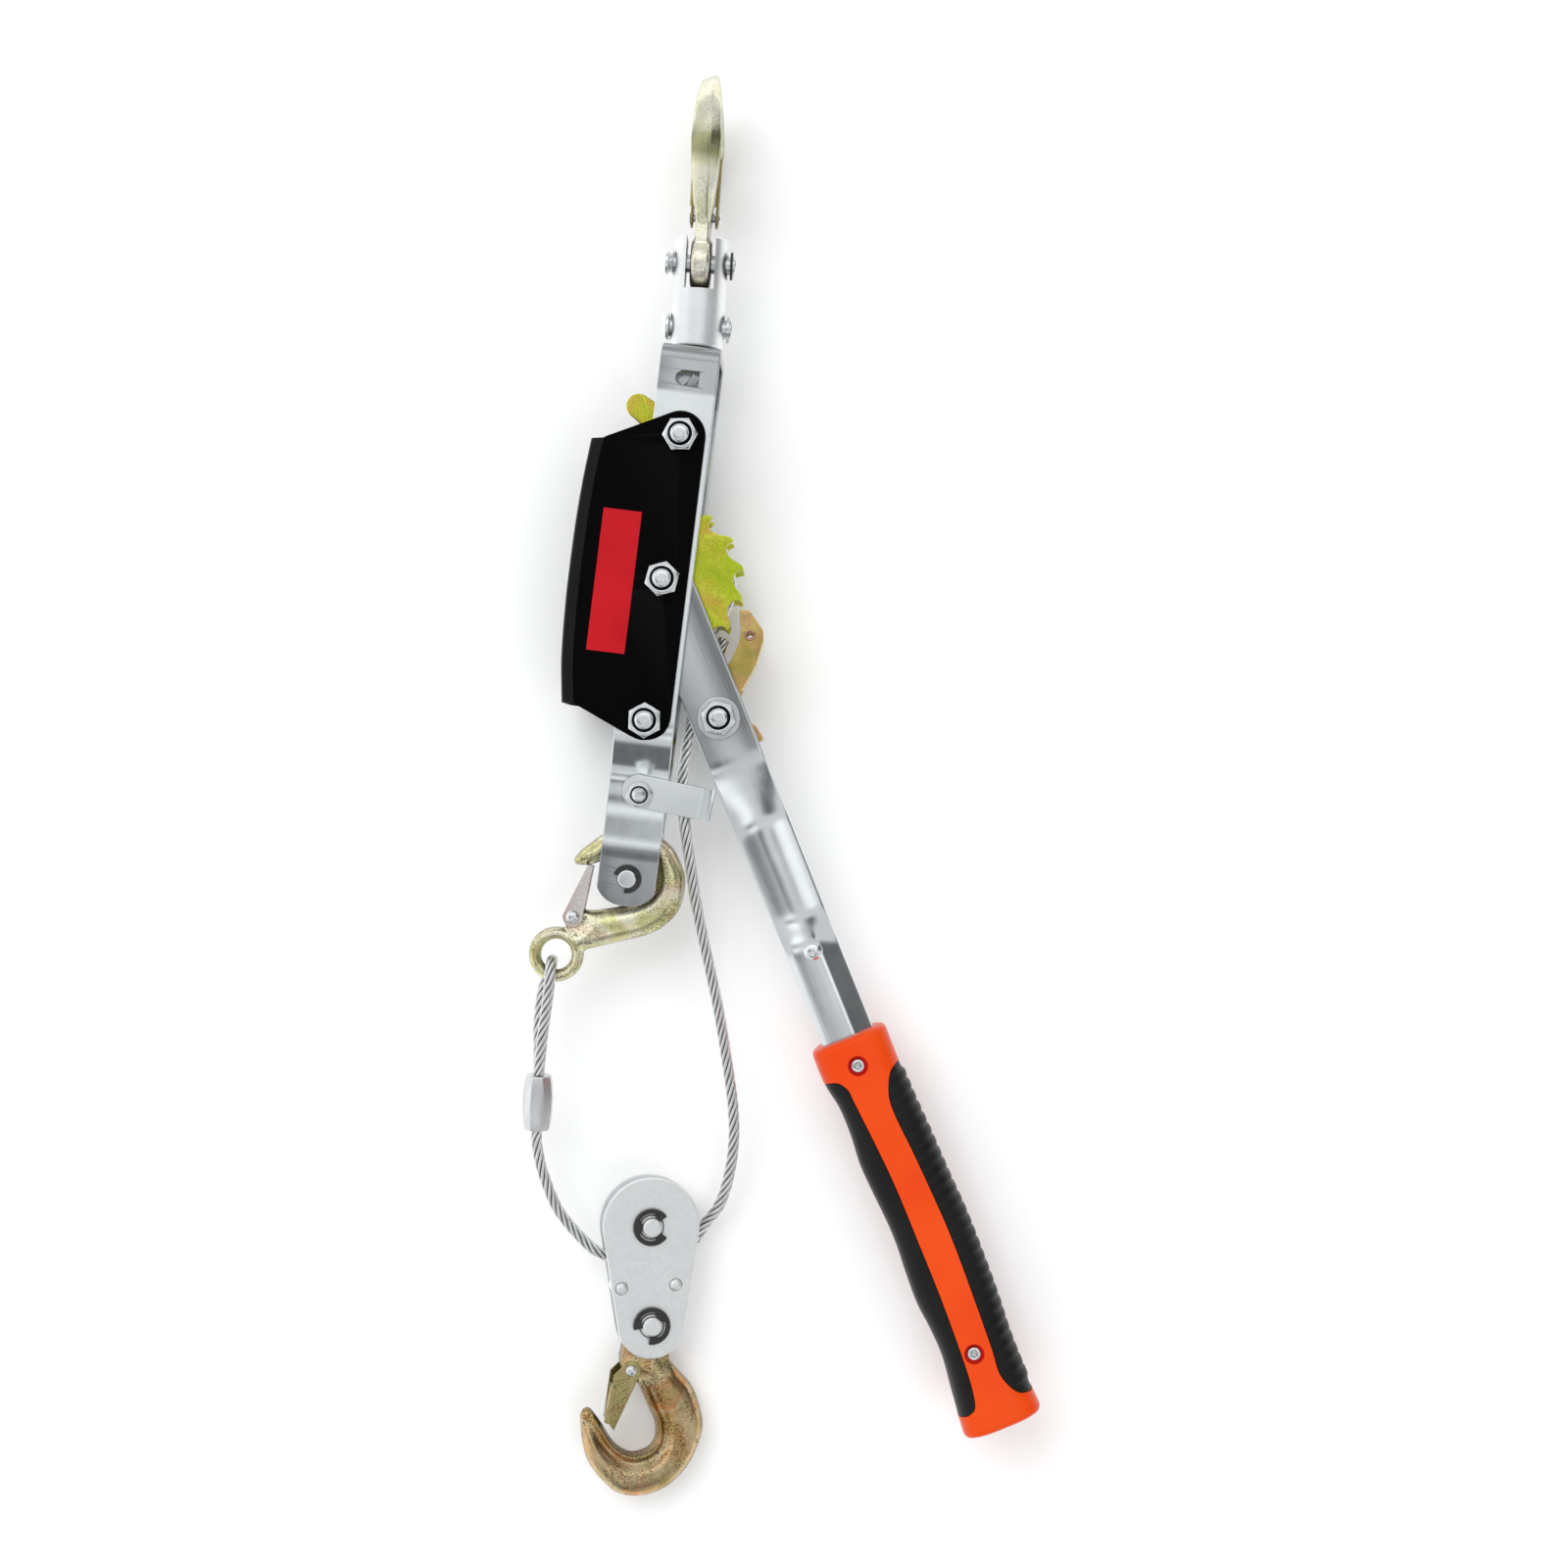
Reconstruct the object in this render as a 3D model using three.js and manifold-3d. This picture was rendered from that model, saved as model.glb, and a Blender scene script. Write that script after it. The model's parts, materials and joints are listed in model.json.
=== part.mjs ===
// Hand-operated come along winch (cable puller), double line, ratchet drum.
// Millimetres, +Z up. The winch lies flat: the drum shaft is vertical, the origin is the
// centre of the shaft bolt's head where it meets the floor, +Y runs along the frame
// towards the top hook. "w" below is the height measured from the frame's mid-plane.
import * as THREE from "three";
import { mergeVertices } from "three/addons/utils/BufferGeometryUtils.js";
import Module from "manifold-3d";

const wasm = await Module();
wasm.setup();

// ---------------------------------------------------------------- driving dimensions
const MID = 32; // height of the mid-plane over the floor
const STRAP_WIDTH = 25, STRAP_THICK = 4, STRAP_HALF = 24; // flat bar of the frame
const BRIDGE_Y = 99.8, STRAP_END_Y = -138.5, STRAP_BEND = 6;
const BOLT_R = 4, BOLT_HOLE_R = 4.3, NUT_AF = 13;
const TOP_BOLT_Y = 60.8, LOWER_BOLT_Y = -59.5;
const CLIP_BOLT = [1.2, -90.8], CLIP_BOLT_R = 3;
const HOOK_PIN_Y = -126.9;
const COVER_HALF = 25.8, COVER_THICK = 1.5;
const TEETH = 16, TIP_R = 33.75, ROOT_R = 28.7, WHEEL_IN = 11, WHEEL_OUT = 16, TOOTH_PHASE = -0.4;
const WINDING_R = 31.5, HUB_R = 15;
const LEVER_ANGLE = 29.1, LEVER_WIDTH = 24, LEVER_PAWL_Y = -62.5;
const LEVER_RIVET_Y = -168.7, SCREW_X = -0.6, SCREW_YS = [-220.9, -352.4];
const GRIP_TOP = -208.5, GRIP_END = -387, GRIP_HALF = 15;
const PAWL_IN = 11.6, PAWL_OUT = 15.4, PAWL_LIFT = 3.8; // pawls rest this many degrees off the wheel
const HEAD_LEAN = 3.75, HEAD_R = 11.5, HEAD_X = 0.8;
const CROSS_PIN_Y = 10.8, HEAD_PIN_Y = 38.1, HEAD_SLOT_Y = 26.2, HEAD_TOP = 49;
const BLOCK_POS = [26.4, -276.2, 13], BLOCK_TURN = 7.1, BLOCK_ROLL = 11;
const BLOCK_R1 = 21.1, BLOCK_R2 = 14.5, BLOCK_PITCH = 42.7;
const CABLE_R = 2.5;

// ---------------------------------------------------------------- helpers
const rad = (d) => (d * Math.PI) / 180;

// A closed geometry as a solid; faces are turned outwards.
function solid(g) {
  const a = g.index ? g.toNonIndexed() : g.clone();
  for (const n of Object.keys(a.attributes)) if (n !== "position") a.deleteAttribute(n);
  const m = mergeVertices(a, 1e-4);
  const src = m.index.array, tris = [];
  for (let i = 0; i < src.length; i += 3) {
    const [p, q, r] = [src[i], src[i + 1], src[i + 2]];
    if (p !== q && q !== r && p !== r) tris.push(p, q, r);
  }
  const build = (t) =>
    new wasm.Manifold(new wasm.Mesh({ numProp: 3, vertProperties: m.attributes.position.array, triVerts: new Uint32Array(t) }));
  const s = build(tris);
  if (s.volume() >= 0) return s;
  for (let i = 0; i < tris.length; i += 3) [tris[i + 1], tris[i + 2]] = [tris[i + 2], tris[i + 1]];
  return build(tris);
}

function geometryOf(s) {
  const m = s.getMesh(), n = m.numProp, v = new Float32Array(m.numVert * 3);
  for (let i = 0; i < m.numVert; i++) v.set(m.vertProperties.subarray(i * n, i * n + 3), i * 3);
  const g = new THREE.BufferGeometry();
  g.setAttribute("position", new THREE.BufferAttribute(v, 3));
  g.setIndex(new THREE.BufferAttribute(new Uint32Array(m.triVerts), 1));
  g.computeVertexNormals();
  return g;
}

const join = (...list) => list.map((s) => (s instanceof THREE.BufferGeometry ? solid(s) : s)).reduce((a, b) => a.add(b));
const cut = (a, ...list) => list.reduce((s, b) => s.subtract(b instanceof THREE.BufferGeometry ? solid(b) : b), a instanceof THREE.BufferGeometry ? solid(a) : a);
const common = (a, b) => (a instanceof THREE.BufferGeometry ? solid(a) : a).intersect(b instanceof THREE.BufferGeometry ? solid(b) : b);

const ring = (x, y, r, n = 16, from = 0) =>
  Array.from({ length: n }, (_, i) => [x + r * Math.cos(from + (i * 2 * Math.PI) / n), y + r * Math.sin(from + (i * 2 * Math.PI) / n)]);
const arc = (x, y, r, a0, a1, n) =>
  Array.from({ length: n + 1 }, (_, i) => { const a = rad(a0 + ((a1 - a0) * i) / n); return [x + r * Math.cos(a), y + r * Math.sin(a)]; });
const path2 = (pts) => pts.map((p) => new THREE.Vector2(p[0], p[1]));
function shapeOf(pts, holes = []) {
  const s = new THREE.Shape(path2(pts));
  s.holes = holes.map((h) => new THREE.Path(path2(h)));
  return s;
}
const plate = (pts, w0, w1, holes = []) =>
  new THREE.ExtrudeGeometry(shapeOf(pts, holes), { depth: w1 - w0, bevelEnabled: false }).translate(0, 0, w0);
const rounded = (pts, half, bevelZ, bevelXY, segments) =>
  new THREE.ExtrudeGeometry(shapeOf(pts), { depth: 2 * (half - bevelZ), bevelEnabled: true, bevelThickness: bevelZ, bevelSize: bevelXY, bevelOffset: -bevelXY, bevelSegments: segments })
    .translate(0, 0, -(half - bevelZ));
// Shape drawn in (y, w), extruded along x.
const alongX = (pts, x0, x1) =>
  new THREE.ExtrudeGeometry(shapeOf(pts), { depth: x1 - x0, bevelEnabled: false })
    .applyMatrix4(new THREE.Matrix4().makeBasis(new THREE.Vector3(0, 1, 0), new THREE.Vector3(0, 0, 1), new THREE.Vector3(1, 0, 0)))
    .translate(x0, 0, 0);
// Shape drawn in (x, w), extruded along y.
const alongY = (pts, y0, y1) =>
  new THREE.ExtrudeGeometry(shapeOf(pts), { depth: y1 - y0, bevelEnabled: false })
    .applyMatrix4(new THREE.Matrix4().makeBasis(new THREE.Vector3(1, 0, 0), new THREE.Vector3(0, 0, 1), new THREE.Vector3(0, -1, 0)))
    .translate(0, y1, 0);
const box = (x0, x1, y0, y1, w0, w1) => new THREE.BoxGeometry(x1 - x0, y1 - y0, w1 - w0).translate((x0 + x1) / 2, (y0 + y1) / 2, (w0 + w1) / 2);
const rod = (r, w0, w1, x = 0, y = 0, n = 16) => new THREE.CylinderGeometry(r, r, w1 - w0, n).rotateX(Math.PI / 2).translate(x, y, (w0 + w1) / 2);
const rodX = (r, x0, x1, y = 0, w = 0, n = 16) => new THREE.CylinderGeometry(r, r, x1 - x0, n).rotateZ(-Math.PI / 2).translate((x0 + x1) / 2, y, w);
const rodY = (r, y0, y1, x = 0, w = 0, n = 16) => new THREE.CylinderGeometry(r, r, y1 - y0, n).translate(x, (y0 + y1) / 2, w);
// Turned piece, profile of [radius, height] pairs, axis along w.
const turned = (profile, n = 16) => new THREE.LatheGeometry(path2(profile), n).rotateX(Math.PI / 2);
const hull2 = (x1, y1, r1, x2, y2, r2, n = 24) => {
  // Outline of two circles joined by their outer tangents.
  const d = Math.hypot(x2 - x1, y2 - y1), dir = Math.atan2(y2 - y1, x2 - x1), k = Math.acos((r1 - r2) / d), deg = 180 / Math.PI;
  return [...arc(x1, y1, r1, (dir + k) * deg, (dir - k + 2 * Math.PI) * deg, n), ...arc(x2, y2, r2, (dir - k) * deg, (dir + k) * deg, n)];
};
const smooth = (pts, n, closed = false) => new THREE.CatmullRomCurve3(pts.map((p) => new THREE.Vector3(p[0], p[1], 0)), closed, "centripetal").getPoints(n).map((p) => [p.x, p.y]);

const zinc = { color: 0xc4ccd0, roughness: 0.32, metalness: 0.95 };
const galvanised = { color: 0xb9bfc1, roughness: 0.5, metalness: 0.85 };
const yellowZinc = { color: 0xb5a962, roughness: 0.35, metalness: 0.9 };
const black = { color: 0x0d0d0e, roughness: 0.35, metalness: 0.1 };
const orange = { color: 0xe8481c, roughness: 0.4, metalness: 0.0 };
const rubberBlack = { color: 0x161616, roughness: 0.7, metalness: 0.0 };
const wire = { color: 0xa9abad, roughness: 0.35, metalness: 0.95 };
const blackSteel = { color: 0x141414, roughness: 0.45, metalness: 0.6 };
const alloy = { color: 0xc9cbcc, roughness: 0.4, metalness: 0.9 };

const winch = new THREE.Group();
const mid = new THREE.Group();
mid.position.z = MID;
winch.add(mid);
function put(group, name, s, look) {
  const mesh = new THREE.Mesh(geometryOf(s instanceof THREE.BufferGeometry ? solid(s) : s), new THREE.MeshStandardMaterial(look));
  mesh.name = name;
  group.add(mesh);
  return mesh;
}

// Hex nut with a nylon collar, hex head, E-clip.
function hex(af, w0, w1, x, y, deg) {
  return plate(ring(x, y, af / 2 / Math.cos(rad(30)), 6, rad(deg)), w0, w1);
}
function lockNut(af, w0, h, bore, x, y, deg) {
  const collar = rod(af * 0.455, w0 + 1, w0 + h, x, y, 14);
  return cut(join(hex(af, w0, w0 + h * 0.74, x, y, deg), collar), rod(bore, w0 - 1, w0 + h + 1, x, y, 14));
}
function bolt(r, af, x, y, headW0, headW1, end, deg) {
  // Shank from the head's inner face to the threaded end, with a small end chamfer.
  const shank = turned([[0, headW1 - 0.5], [r, headW1 - 0.5], [r, end - 0.8], [r - 0.8, end], [0, end]], 14).translate(x, y, 0);
  return join(hex(af, headW0, headW1, x, y, deg), shank);
}
function eclip(inner, outer, w0, w1, x, y, openDeg, gapDeg, lugs = 0) {
  const a0 = openDeg + gapDeg / 2, a1 = openDeg - gapDeg / 2 + 360;
  // Three lugs grip the pin: at both ends and at the back.
  const N = 16, inside = Array.from({ length: N + 1 }, (_, i) => {
    const t = i / N, r = t < 0.14 || t > 0.86 || Math.abs(t - 0.5) < 0.1 ? inner : inner + lugs, a = rad(a1 + (a0 - a1) * t);
    return [x + r * Math.cos(a), y + r * Math.sin(a)];
  });
  return plate([...arc(x, y, outer, a0, a1, 14), ...inside], w0, w1);
}

// ---------------------------------------------------------------- frame: one flat bar bent to a U
{
  const S = STRAP_HALF, T = STRAP_THICK, B = BRIDGE_Y, E = STRAP_END_Y, R = STRAP_BEND;
  const outer = [[E, 11], [-113, 11], [-97, 14], [-82, 14], [-66, S], ...arc(B - R, S - R, R, 90, 0, 5)];
  const inner = [[E, 7], [-112.6, 7], [-96.6, 10], [-80.85, 10], [-64.85, S - T], ...arc(B - R, S - R, R - T, 90, 0, 3)];
  const mirror = (l) => l.map(([y, w]) => [y, -w]).reverse();
  const bent = alongX([...outer, ...mirror(outer), ...mirror(inner).reverse(), ...inner.slice().reverse()], -STRAP_WIDTH / 2, STRAP_WIDTH / 2);
  const W = STRAP_WIDTH / 2;
  const end = plate([[W, 110], [-W, 110], [-W, -131.5], [-9.5, -135.4], [-5, -137.9], [0, E], [5, -137.9], [9.5, -135.4], [W, -131.5]], -40, 40);
  const slot = plate([[4.7, 81.9], [4.7, 88.5], [-2, 88.5], ...arc(-2, 85.2, 3.3, 90, 270, 4), [-2, 81.9]], 19, 25);
  const strap = cut(common(bent, end), rod(BOLT_HOLE_R, -30, 30, 0, 0), rod(BOLT_HOLE_R, -30, 30, 0, TOP_BOLT_Y), rod(BOLT_HOLE_R, -30, 30, 0, LOWER_BOLT_Y), rod(BOLT_HOLE_R, -30, 30, 0, HOOK_PIN_Y), rod(3.3, 5, 30, ...CLIP_BOLT, 14), slot, rodY(6.3, 90, 105, HEAD_X));
  put(mid, "frame_strap", strap, zinc);
}

// Pressed sheet cover that wraps the drum's left side.
const coverEdge = [[-36.5, -56], [-38.9, -38], [-40.1, -15], [-40.3, 0], [-40.1, 20], [-39.3, 38], [-37.8, 56]];
{
  const big = (dx) => [[-30.6 + dx, -100], ...coverEdge.map(([x, y]) => [x + dx, y]), [-34.1 + dx, 100], [60, 100], [60, -100]];
  const H = COVER_HALF, T = COVER_THICK;
  const outside = rounded(big(0), H, 7.8, 5.8, 1), inside = rounded(big(T), H - T, 7, 5.2, 1);
  const outline = plate([...coverEdge, [-32, 56.5], ...arc(0, TOP_BOLT_Y, 10.5, 116.6, 0, 7), ...arc(0, LOWER_BOLT_Y, 10.5, 0, -116.1, 7), [-30.6, -56.2]], -40, 40);
  const holes = [0, TOP_BOLT_Y, LOWER_BOLT_Y].map((y) => rod(BOLT_HOLE_R, -30, 30, 0, y, 14));
  put(mid, "guard_cover", cut(common(outside, outline), inside, ...holes, rodX(1.9, -45, -30, -1.3, 0, 12)), black);
  put(mid, "guard_rivet", solid(turned([[0, 0], [1.5, 0], [1.5, 2.4], [3.2, 2.4], [2.7, 3.7], [1.3, 4.4], [0, 4.5]], 10).rotateY(-Math.PI / 2).translate(-38.2, -1.3, 0)), zinc);
}

// Cross bolts with lock nuts, spacer, lower pin.
put(mid, "shaft_bolt", bolt(BOLT_R, NUT_AF, 0, 0, -32, -26.1, 35.5, 12), zinc);
put(mid, "shaft_nut", lockNut(NUT_AF, 26.1, 8, 4.25, 0, 0, 22), zinc);
put(mid, "stop_pawl_bolt", bolt(BOLT_R, NUT_AF, 0, TOP_BOLT_Y, -32, -26.1, 35.5, 40), zinc);
put(mid, "stop_pawl_nut", lockNut(NUT_AF, 26.1, 8, 4.25, 0, TOP_BOLT_Y, 8), zinc);
put(mid, "lower_bolt", bolt(BOLT_R, NUT_AF, 0, LOWER_BOLT_Y, -32, -26.1, 35.5, 5), zinc);
put(mid, "lower_nut", lockNut(NUT_AF, 26.1, 8, 4.25, 0, LOWER_BOLT_Y, 35), zinc);
put(mid, "lower_spacer", plate(ring(0, LOWER_BOLT_Y, 6.2, 14), -18.8, 18.8, [ring(0, LOWER_BOLT_Y, 4.4, 14)]), zinc);
put(mid, "clip_bolt", bolt(CLIP_BOLT_R, 10, ...CLIP_BOLT, 5.6, 9.7, 24.2, 20), zinc);
put(mid, "clip_nut", lockNut(10, 16.7, 6, 3.2, ...CLIP_BOLT, 14), zinc);
put(mid, "hook_pin", solid(turned([[0, -13.6], [5.4, -13.6], [6, -13], [6, -11.3], [4, -11.3], [4, 13], [3.4, 13.6], [0, 13.6]], 16).translate(0, HOOK_PIN_Y, 0)), zinc);
put(mid, "hook_pin_eclip", eclip(4.3, 6.1, 11.3, 12.3, 0, HOOK_PIN_Y, 215, 95), blackSteel);

// Strap clip that keeps the cable on the drum side of the frame.
{
  const T = 2, w = 14.3, cx = 24.6, r = 5.55, cw = w + T - (r + T / 2);
  const outer = [[-9, w + T], [cx, w + T], ...arc(cx, cw, r + T / 2, 90, -90, 7), [15.6, cw - r - T / 2]];
  const inner = [[-9, w], [cx, w], ...arc(cx, cw, r - T / 2, 90, -90, 7), [15.6, cw - r + T / 2]];
  const band = alongY([...outer, ...inner.slice().reverse()], -6.8, 6.8);
  const tongue = plate([...arc(-1, 0, 6.8, 90, 270, 8), [40, -6.8], [40, 6.8]], -10, 30);
  const guide = common(band, tongue).translate([0, 1.5, 0]).rotate([0, 0, -4.6]).translate([...CLIP_BOLT, 0]);
  put(mid, "cable_guide", cut(guide, rod(3.3, 12, 20, ...CLIP_BOLT, 14)), zinc);
}

// ---------------------------------------------------------------- drum
{
  put(mid, "drum_hub", plate(ring(0, 0, HUB_R, 20), -10.6, 10.6, [ring(0, 0, 4.25, 16)]), zinc);
  const wheel = [];
  for (let i = 0; i < TEETH; i++)
    for (const [a, r] of [[0, TIP_R], [2.2, TIP_R - 0.1], [8, 31.9], [15, 29.6], [19.5, ROOT_R], [22.6, ROOT_R + 0.1]])
      wheel.push([r * Math.cos(rad(TOOTH_PHASE + (i * 360) / TEETH + a)), r * Math.sin(rad(TOOTH_PHASE + (i * 360) / TEETH + a))]);
  put(mid, "ratchet_wheel_front", plate(wheel, WHEEL_IN, WHEEL_OUT, [ring(0, 0, 4.25, 16)]), yellowZinc);
  put(mid, "ratchet_wheel_rear", plate(wheel, -WHEEL_OUT, -WHEEL_IN, [ring(0, 0, 4.25, 16)]), yellowZinc);
  const W = 10.7, G = HUB_R + 0.3;
  put(mid, "cable_winding", solid(turned([[G, -W], [WINDING_R - 0.8, -W], [WINDING_R, -W + 0.8], [WINDING_R, W - 0.8], [WINDING_R - 0.8, W], [G, W], [G, -W]], 24)), wire);
}

// ---------------------------------------------------------------- lever, turned about the shaft
const lever = new THREE.Group();
lever.rotation.z = rad(LEVER_ANGLE);
mid.add(lever);
{
  const H = LEVER_WIDTH / 2;
  const outer = [[12, 19.5], [-84, 19.5], [-110, 12.5], [-154, 12.5], [-165, 9.2], [-172, 9.2]];
  const inner = [[12, 16.5], [-83.6, 16.5], [-109.6, 9.5], [-153.6, 9.5], [-164.6, 6.2], [-172, 6.2]];
  const side = alongX([...outer, ...inner.slice().reverse()], -H, H);
  const plan = plate([...arc(0, 0, H, 0, 180, 9), [-H, -84], [-11.5, -160], [-11.5, -180], [11.5, -180], [11.5, -160], [H, -84]], 0, 30);
  const channel = alongY([[-11.5, 0.6], [-11.5, 5.4], [-7.8, 9.2], [7.8, 9.2], [11.5, 5.4], [11.5, 0.6], [8.7, 0.6], [8.7, 4.3], [6.8, 6.2], [-6.8, 6.2], [-8.7, 4.3], [-8.7, 0.6]], -366, -165.2);
  const holes = [rod(4.25, 0, 30, 0, 0), rod(4.3, 0, 30, 0, LEVER_PAWL_Y), rod(3.4, 0, 30, 0, LEVER_RIVET_Y, 12), ...SCREW_YS.map((y) => rod(2.7, 0, 30, SCREW_X, y, 10))];
  const arm = cut(join(common(side, plan), channel), ...holes);
  put(lever, "lever_arm_front", arm, zinc);
  put(lever, "lever_arm_rear", arm.mirror([0, 0, 1]), zinc);
  put(lever, "lever_rivet", solid(turned([[0, -11.6], [2.6, -11.1], [4.4, -9.5], [3, -9.5], [3, 9.5], [4.4, 9.5], [2.6, 11.1], [0, 11.6]], 12).translate(0, LEVER_RIVET_Y, 0)), zinc);
  put(lever, "drive_pawl_bolt", bolt(BOLT_R, NUT_AF, 0, LEVER_PAWL_Y, -25.1, -19.8, 31.4, 0), zinc);
  put(lever, "drive_pawl_washer", plate(ring(0, LEVER_PAWL_Y, 9, 20), 19.8, 21.3, [ring(0, LEVER_PAWL_Y, 4.3, 14)]), zinc);
  put(lever, "drive_pawl_nut", lockNut(NUT_AF, 21.6, 8, 4.25, 0, LEVER_PAWL_Y, 25), zinc);
  put(lever, "drive_pawl_spring", plate(ring(0, LEVER_PAWL_Y, 6.3, 12), -8.5, 8.5, [ring(0, LEVER_PAWL_Y, 4.5, 12)]), zinc);
}

// Grip: hard body, two soft side pads over an inner core, two through screws.
{
  const left = [[-17, -224], [-15, -235.8], [-14.9, -248.7], [-15.9, -261.5], [-15.4, -273.5], [-14.4, -288.3], [-14.3, -299.1], [-15.1, -311.6], [-15.5, -325.8], [-14.3, -338.4], [-14, -350.2], [-15.7, -365], [-17, -376.5], [-18, -387]];
  const right = [[16.5, -226], [16.7, -243], [17.3, -257.6], [17.9, -279], [18.6, -296.4], [18.4, -316], [17.8, -334], [16.6, -352], [16.5, -366.4], [16.9, -377], [17.6, -387]];
  const outline = (d) => [[16.8 - d, -190], ...right.map(([x, y]) => [x - d, y]), [17.6 - d, -400], [-18 + d, -400], ...left.map(([x, y]) => [x + d, y]).reverse(), [-16.6 + d, -190]];
  const trim = box(-30, 30, GRIP_END, GRIP_TOP, -30, 30);
  const full = common(rounded(outline(0), GRIP_HALF, 8.5, 8.5, 2), trim);
  const core = common(rounded(outline(2.4), GRIP_HALF - 2.4, 7, 7, 2), trim);
  const coreGap = rounded(outline(2.1), GRIP_HALF - 2.1, 7, 7, 2);
  const padLeft = [[-25, -223.7], [-17, -223.7], [-11.5, -224.8], [-8.6, -228.9], [-8.1, -234.4], [-5.4, -270.8], [-5.1, -300], [-5.3, -332.6], [-7.4, -367.1], [-9.5, -374.3], [-13, -376.2], [-25, -376.6]];
  const padRight = [[25, -226], [16.2, -226], [12, -228], [8.6, -233.4], [6.5, -240.3], [7.6, -263.1], [7.9, -269], [9.1, -300.4], [8.3, -331.6], [7.3, -353.3], [6.6, -365.1], [10.7, -374.3], [16, -376.9], [25, -377]];
  const grow = (pts, dx) => pts.map(([x, y]) => [x + dx, y + (y > -300 ? 0.3 : -0.3)]);
  const pocket = box(-11.8, 11.8, -366.4, -200, -9.6, 9.6);
  const bores = SCREW_YS.flatMap((y) => [rod(2.6, -30, 30, SCREW_X, y, 10), rod(4.2, 12, 30, SCREW_X, y, 12), rod(4.2, -30, -12, SCREW_X, y, 12)]);
  const body = cut(join(cut(full, plate(grow(padLeft, 0.3), -30, 30), plate(grow(padRight, -0.3), -30, 30)), core), pocket, ...bores);
  put(lever, "grip_body", body, orange);
  put(lever, "grip_pad_left", cut(common(full, plate(padLeft, -30, 30)), coreGap), rubberBlack);
  put(lever, "grip_pad_right", cut(common(full, plate(padRight, -30, 30)), coreGap), rubberBlack);
  SCREW_YS.forEach((y, i) =>
    put(lever, ["grip_screw_top", "grip_screw_bottom"][i], solid(turned([[0, -14.3], [3.5, -14.3], [3.7, -12.3], [2.2, -12.3], [2.2, 12.3], [3.7, 12.3], [3.5, 14.3], [1.7, 14.3], [1.7, 13], [0, 13]], 12).translate(SCREW_X, y, 0)), zinc),
  );
}

// Driving pawl on the lever's bolt: two stamped cheeks joined by a web, drawn engaged about its pivot.
{
  const cheek = [[22.9, 41.2], [26.6, 39.3], [29.4, 29.6], [28.2, 25.6], [22.1, 16.9], [13, 8.4], [8.4, 2.6], [7.6, -2.6], [13.7, -7.2], [15.4, -14.1], [12.5, -14.5], [5, -7.4], [0, -7.6], [-5.4, -5.4], [-7.5, 0], [-5.6, 5], [-2, 9], [6, 16], [13, 22.3], [17, 26.5], [20, 31.2], [22.1, 39.3]].reverse();
  const web = [[29.4, 29.6], [28.2, 25.6], [22.1, 16.9], [13, 8.4], [11.2, 10.2], [20.2, 18.7], [25.8, 26.8], [26.9, 30]].reverse();
  const holes = [ring(0, 0, 4.3, 14), ring(23.4, 29.4, 1.5, 8)];
  const pawl = join(plate(cheek, PAWL_IN, PAWL_OUT, holes), plate(cheek, -PAWL_OUT, -PAWL_IN, holes), plate(web, -12, 12)).rotate([0, 0, -PAWL_LIFT]).translate([0, LEVER_PAWL_Y, 0]);
  put(lever, "drive_pawl", pawl, yellowZinc);
}

// Holding pawl on the frame's top bolt, with its release tongue.
{
  const arm = [[-27.4, -46.25], [-31.5, -44.4], [-33, -36], [-30, -24], [-20, -10], [-7, 3], [5, -5.6], [-1, -8.5], [-12, -15], [-21, -27], [-24.6, -37]].reverse();
  const web = [[-33, -36], [-30, -24], [-27.6, -25], [-30.6, -35.4]];
  const tongue = hull2(0, 0, 6.5, -20.4, 10.3, 5.2, 5);
  const hub = ring(0, 0, 7.8, 14);
  const one = (w0, w1, withTongue) => cut(join(plate(arm, w0, w1), plate(hub, w0, w1), ...(withTongue ? [plate(tongue, w0, w1)] : [])), rod(4.3, w0 - 1, w1 + 1, 0, 0, 14));
  const pawl = join(one(PAWL_IN, PAWL_OUT, true), one(-PAWL_OUT, -PAWL_IN, false), plate(web, -12, 12)).rotate([0, 0, -PAWL_LIFT]).translate([0, TOP_BOLT_Y, 0]);
  put(mid, "stop_pawl", pawl, yellowZinc);
  put(mid, "stop_pawl_spring", plate(ring(0, TOP_BOLT_Y, 6.3, 12), -8.5, 8.5, [ring(0, TOP_BOLT_Y, 4.5, 12)]), zinc);
}

// ---------------------------------------------------------------- hooks
// A forged hook drawn about its pin: eye at the origin, bowl below, tip to the left.
const bowlOuter = [[8.6, -9], [8.3, -15.5], [12.5, -20.9], [18.5, -27.7], [22.7, -38.8], [23.6, -46], [21.9, -53.2], [17, -63], [8.3, -71.3], [-0.2, -74.7], [-5.9, -75.2], [-13.8, -73.5], [-21.5, -66.8], [-27, -58.7], [-29.3, -49.8], [-30, -42.2], [-30, -38.8], [-28.5, -36.2], [-26.2, -35.8]];
const bowlInner = [[-23.7, -38.6], [-20.2, -43.9], [-17.2, -49], [-13.4, -53.2], [-8.7, -55.8], [-4.9, -55.8], [-0.2, -54.1], [2.3, -50.7], [2.6, -43.9], [-0.2, -37.1], [-4.9, -26.4]];
const LATCH = [-8.6, -19.6];
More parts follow.
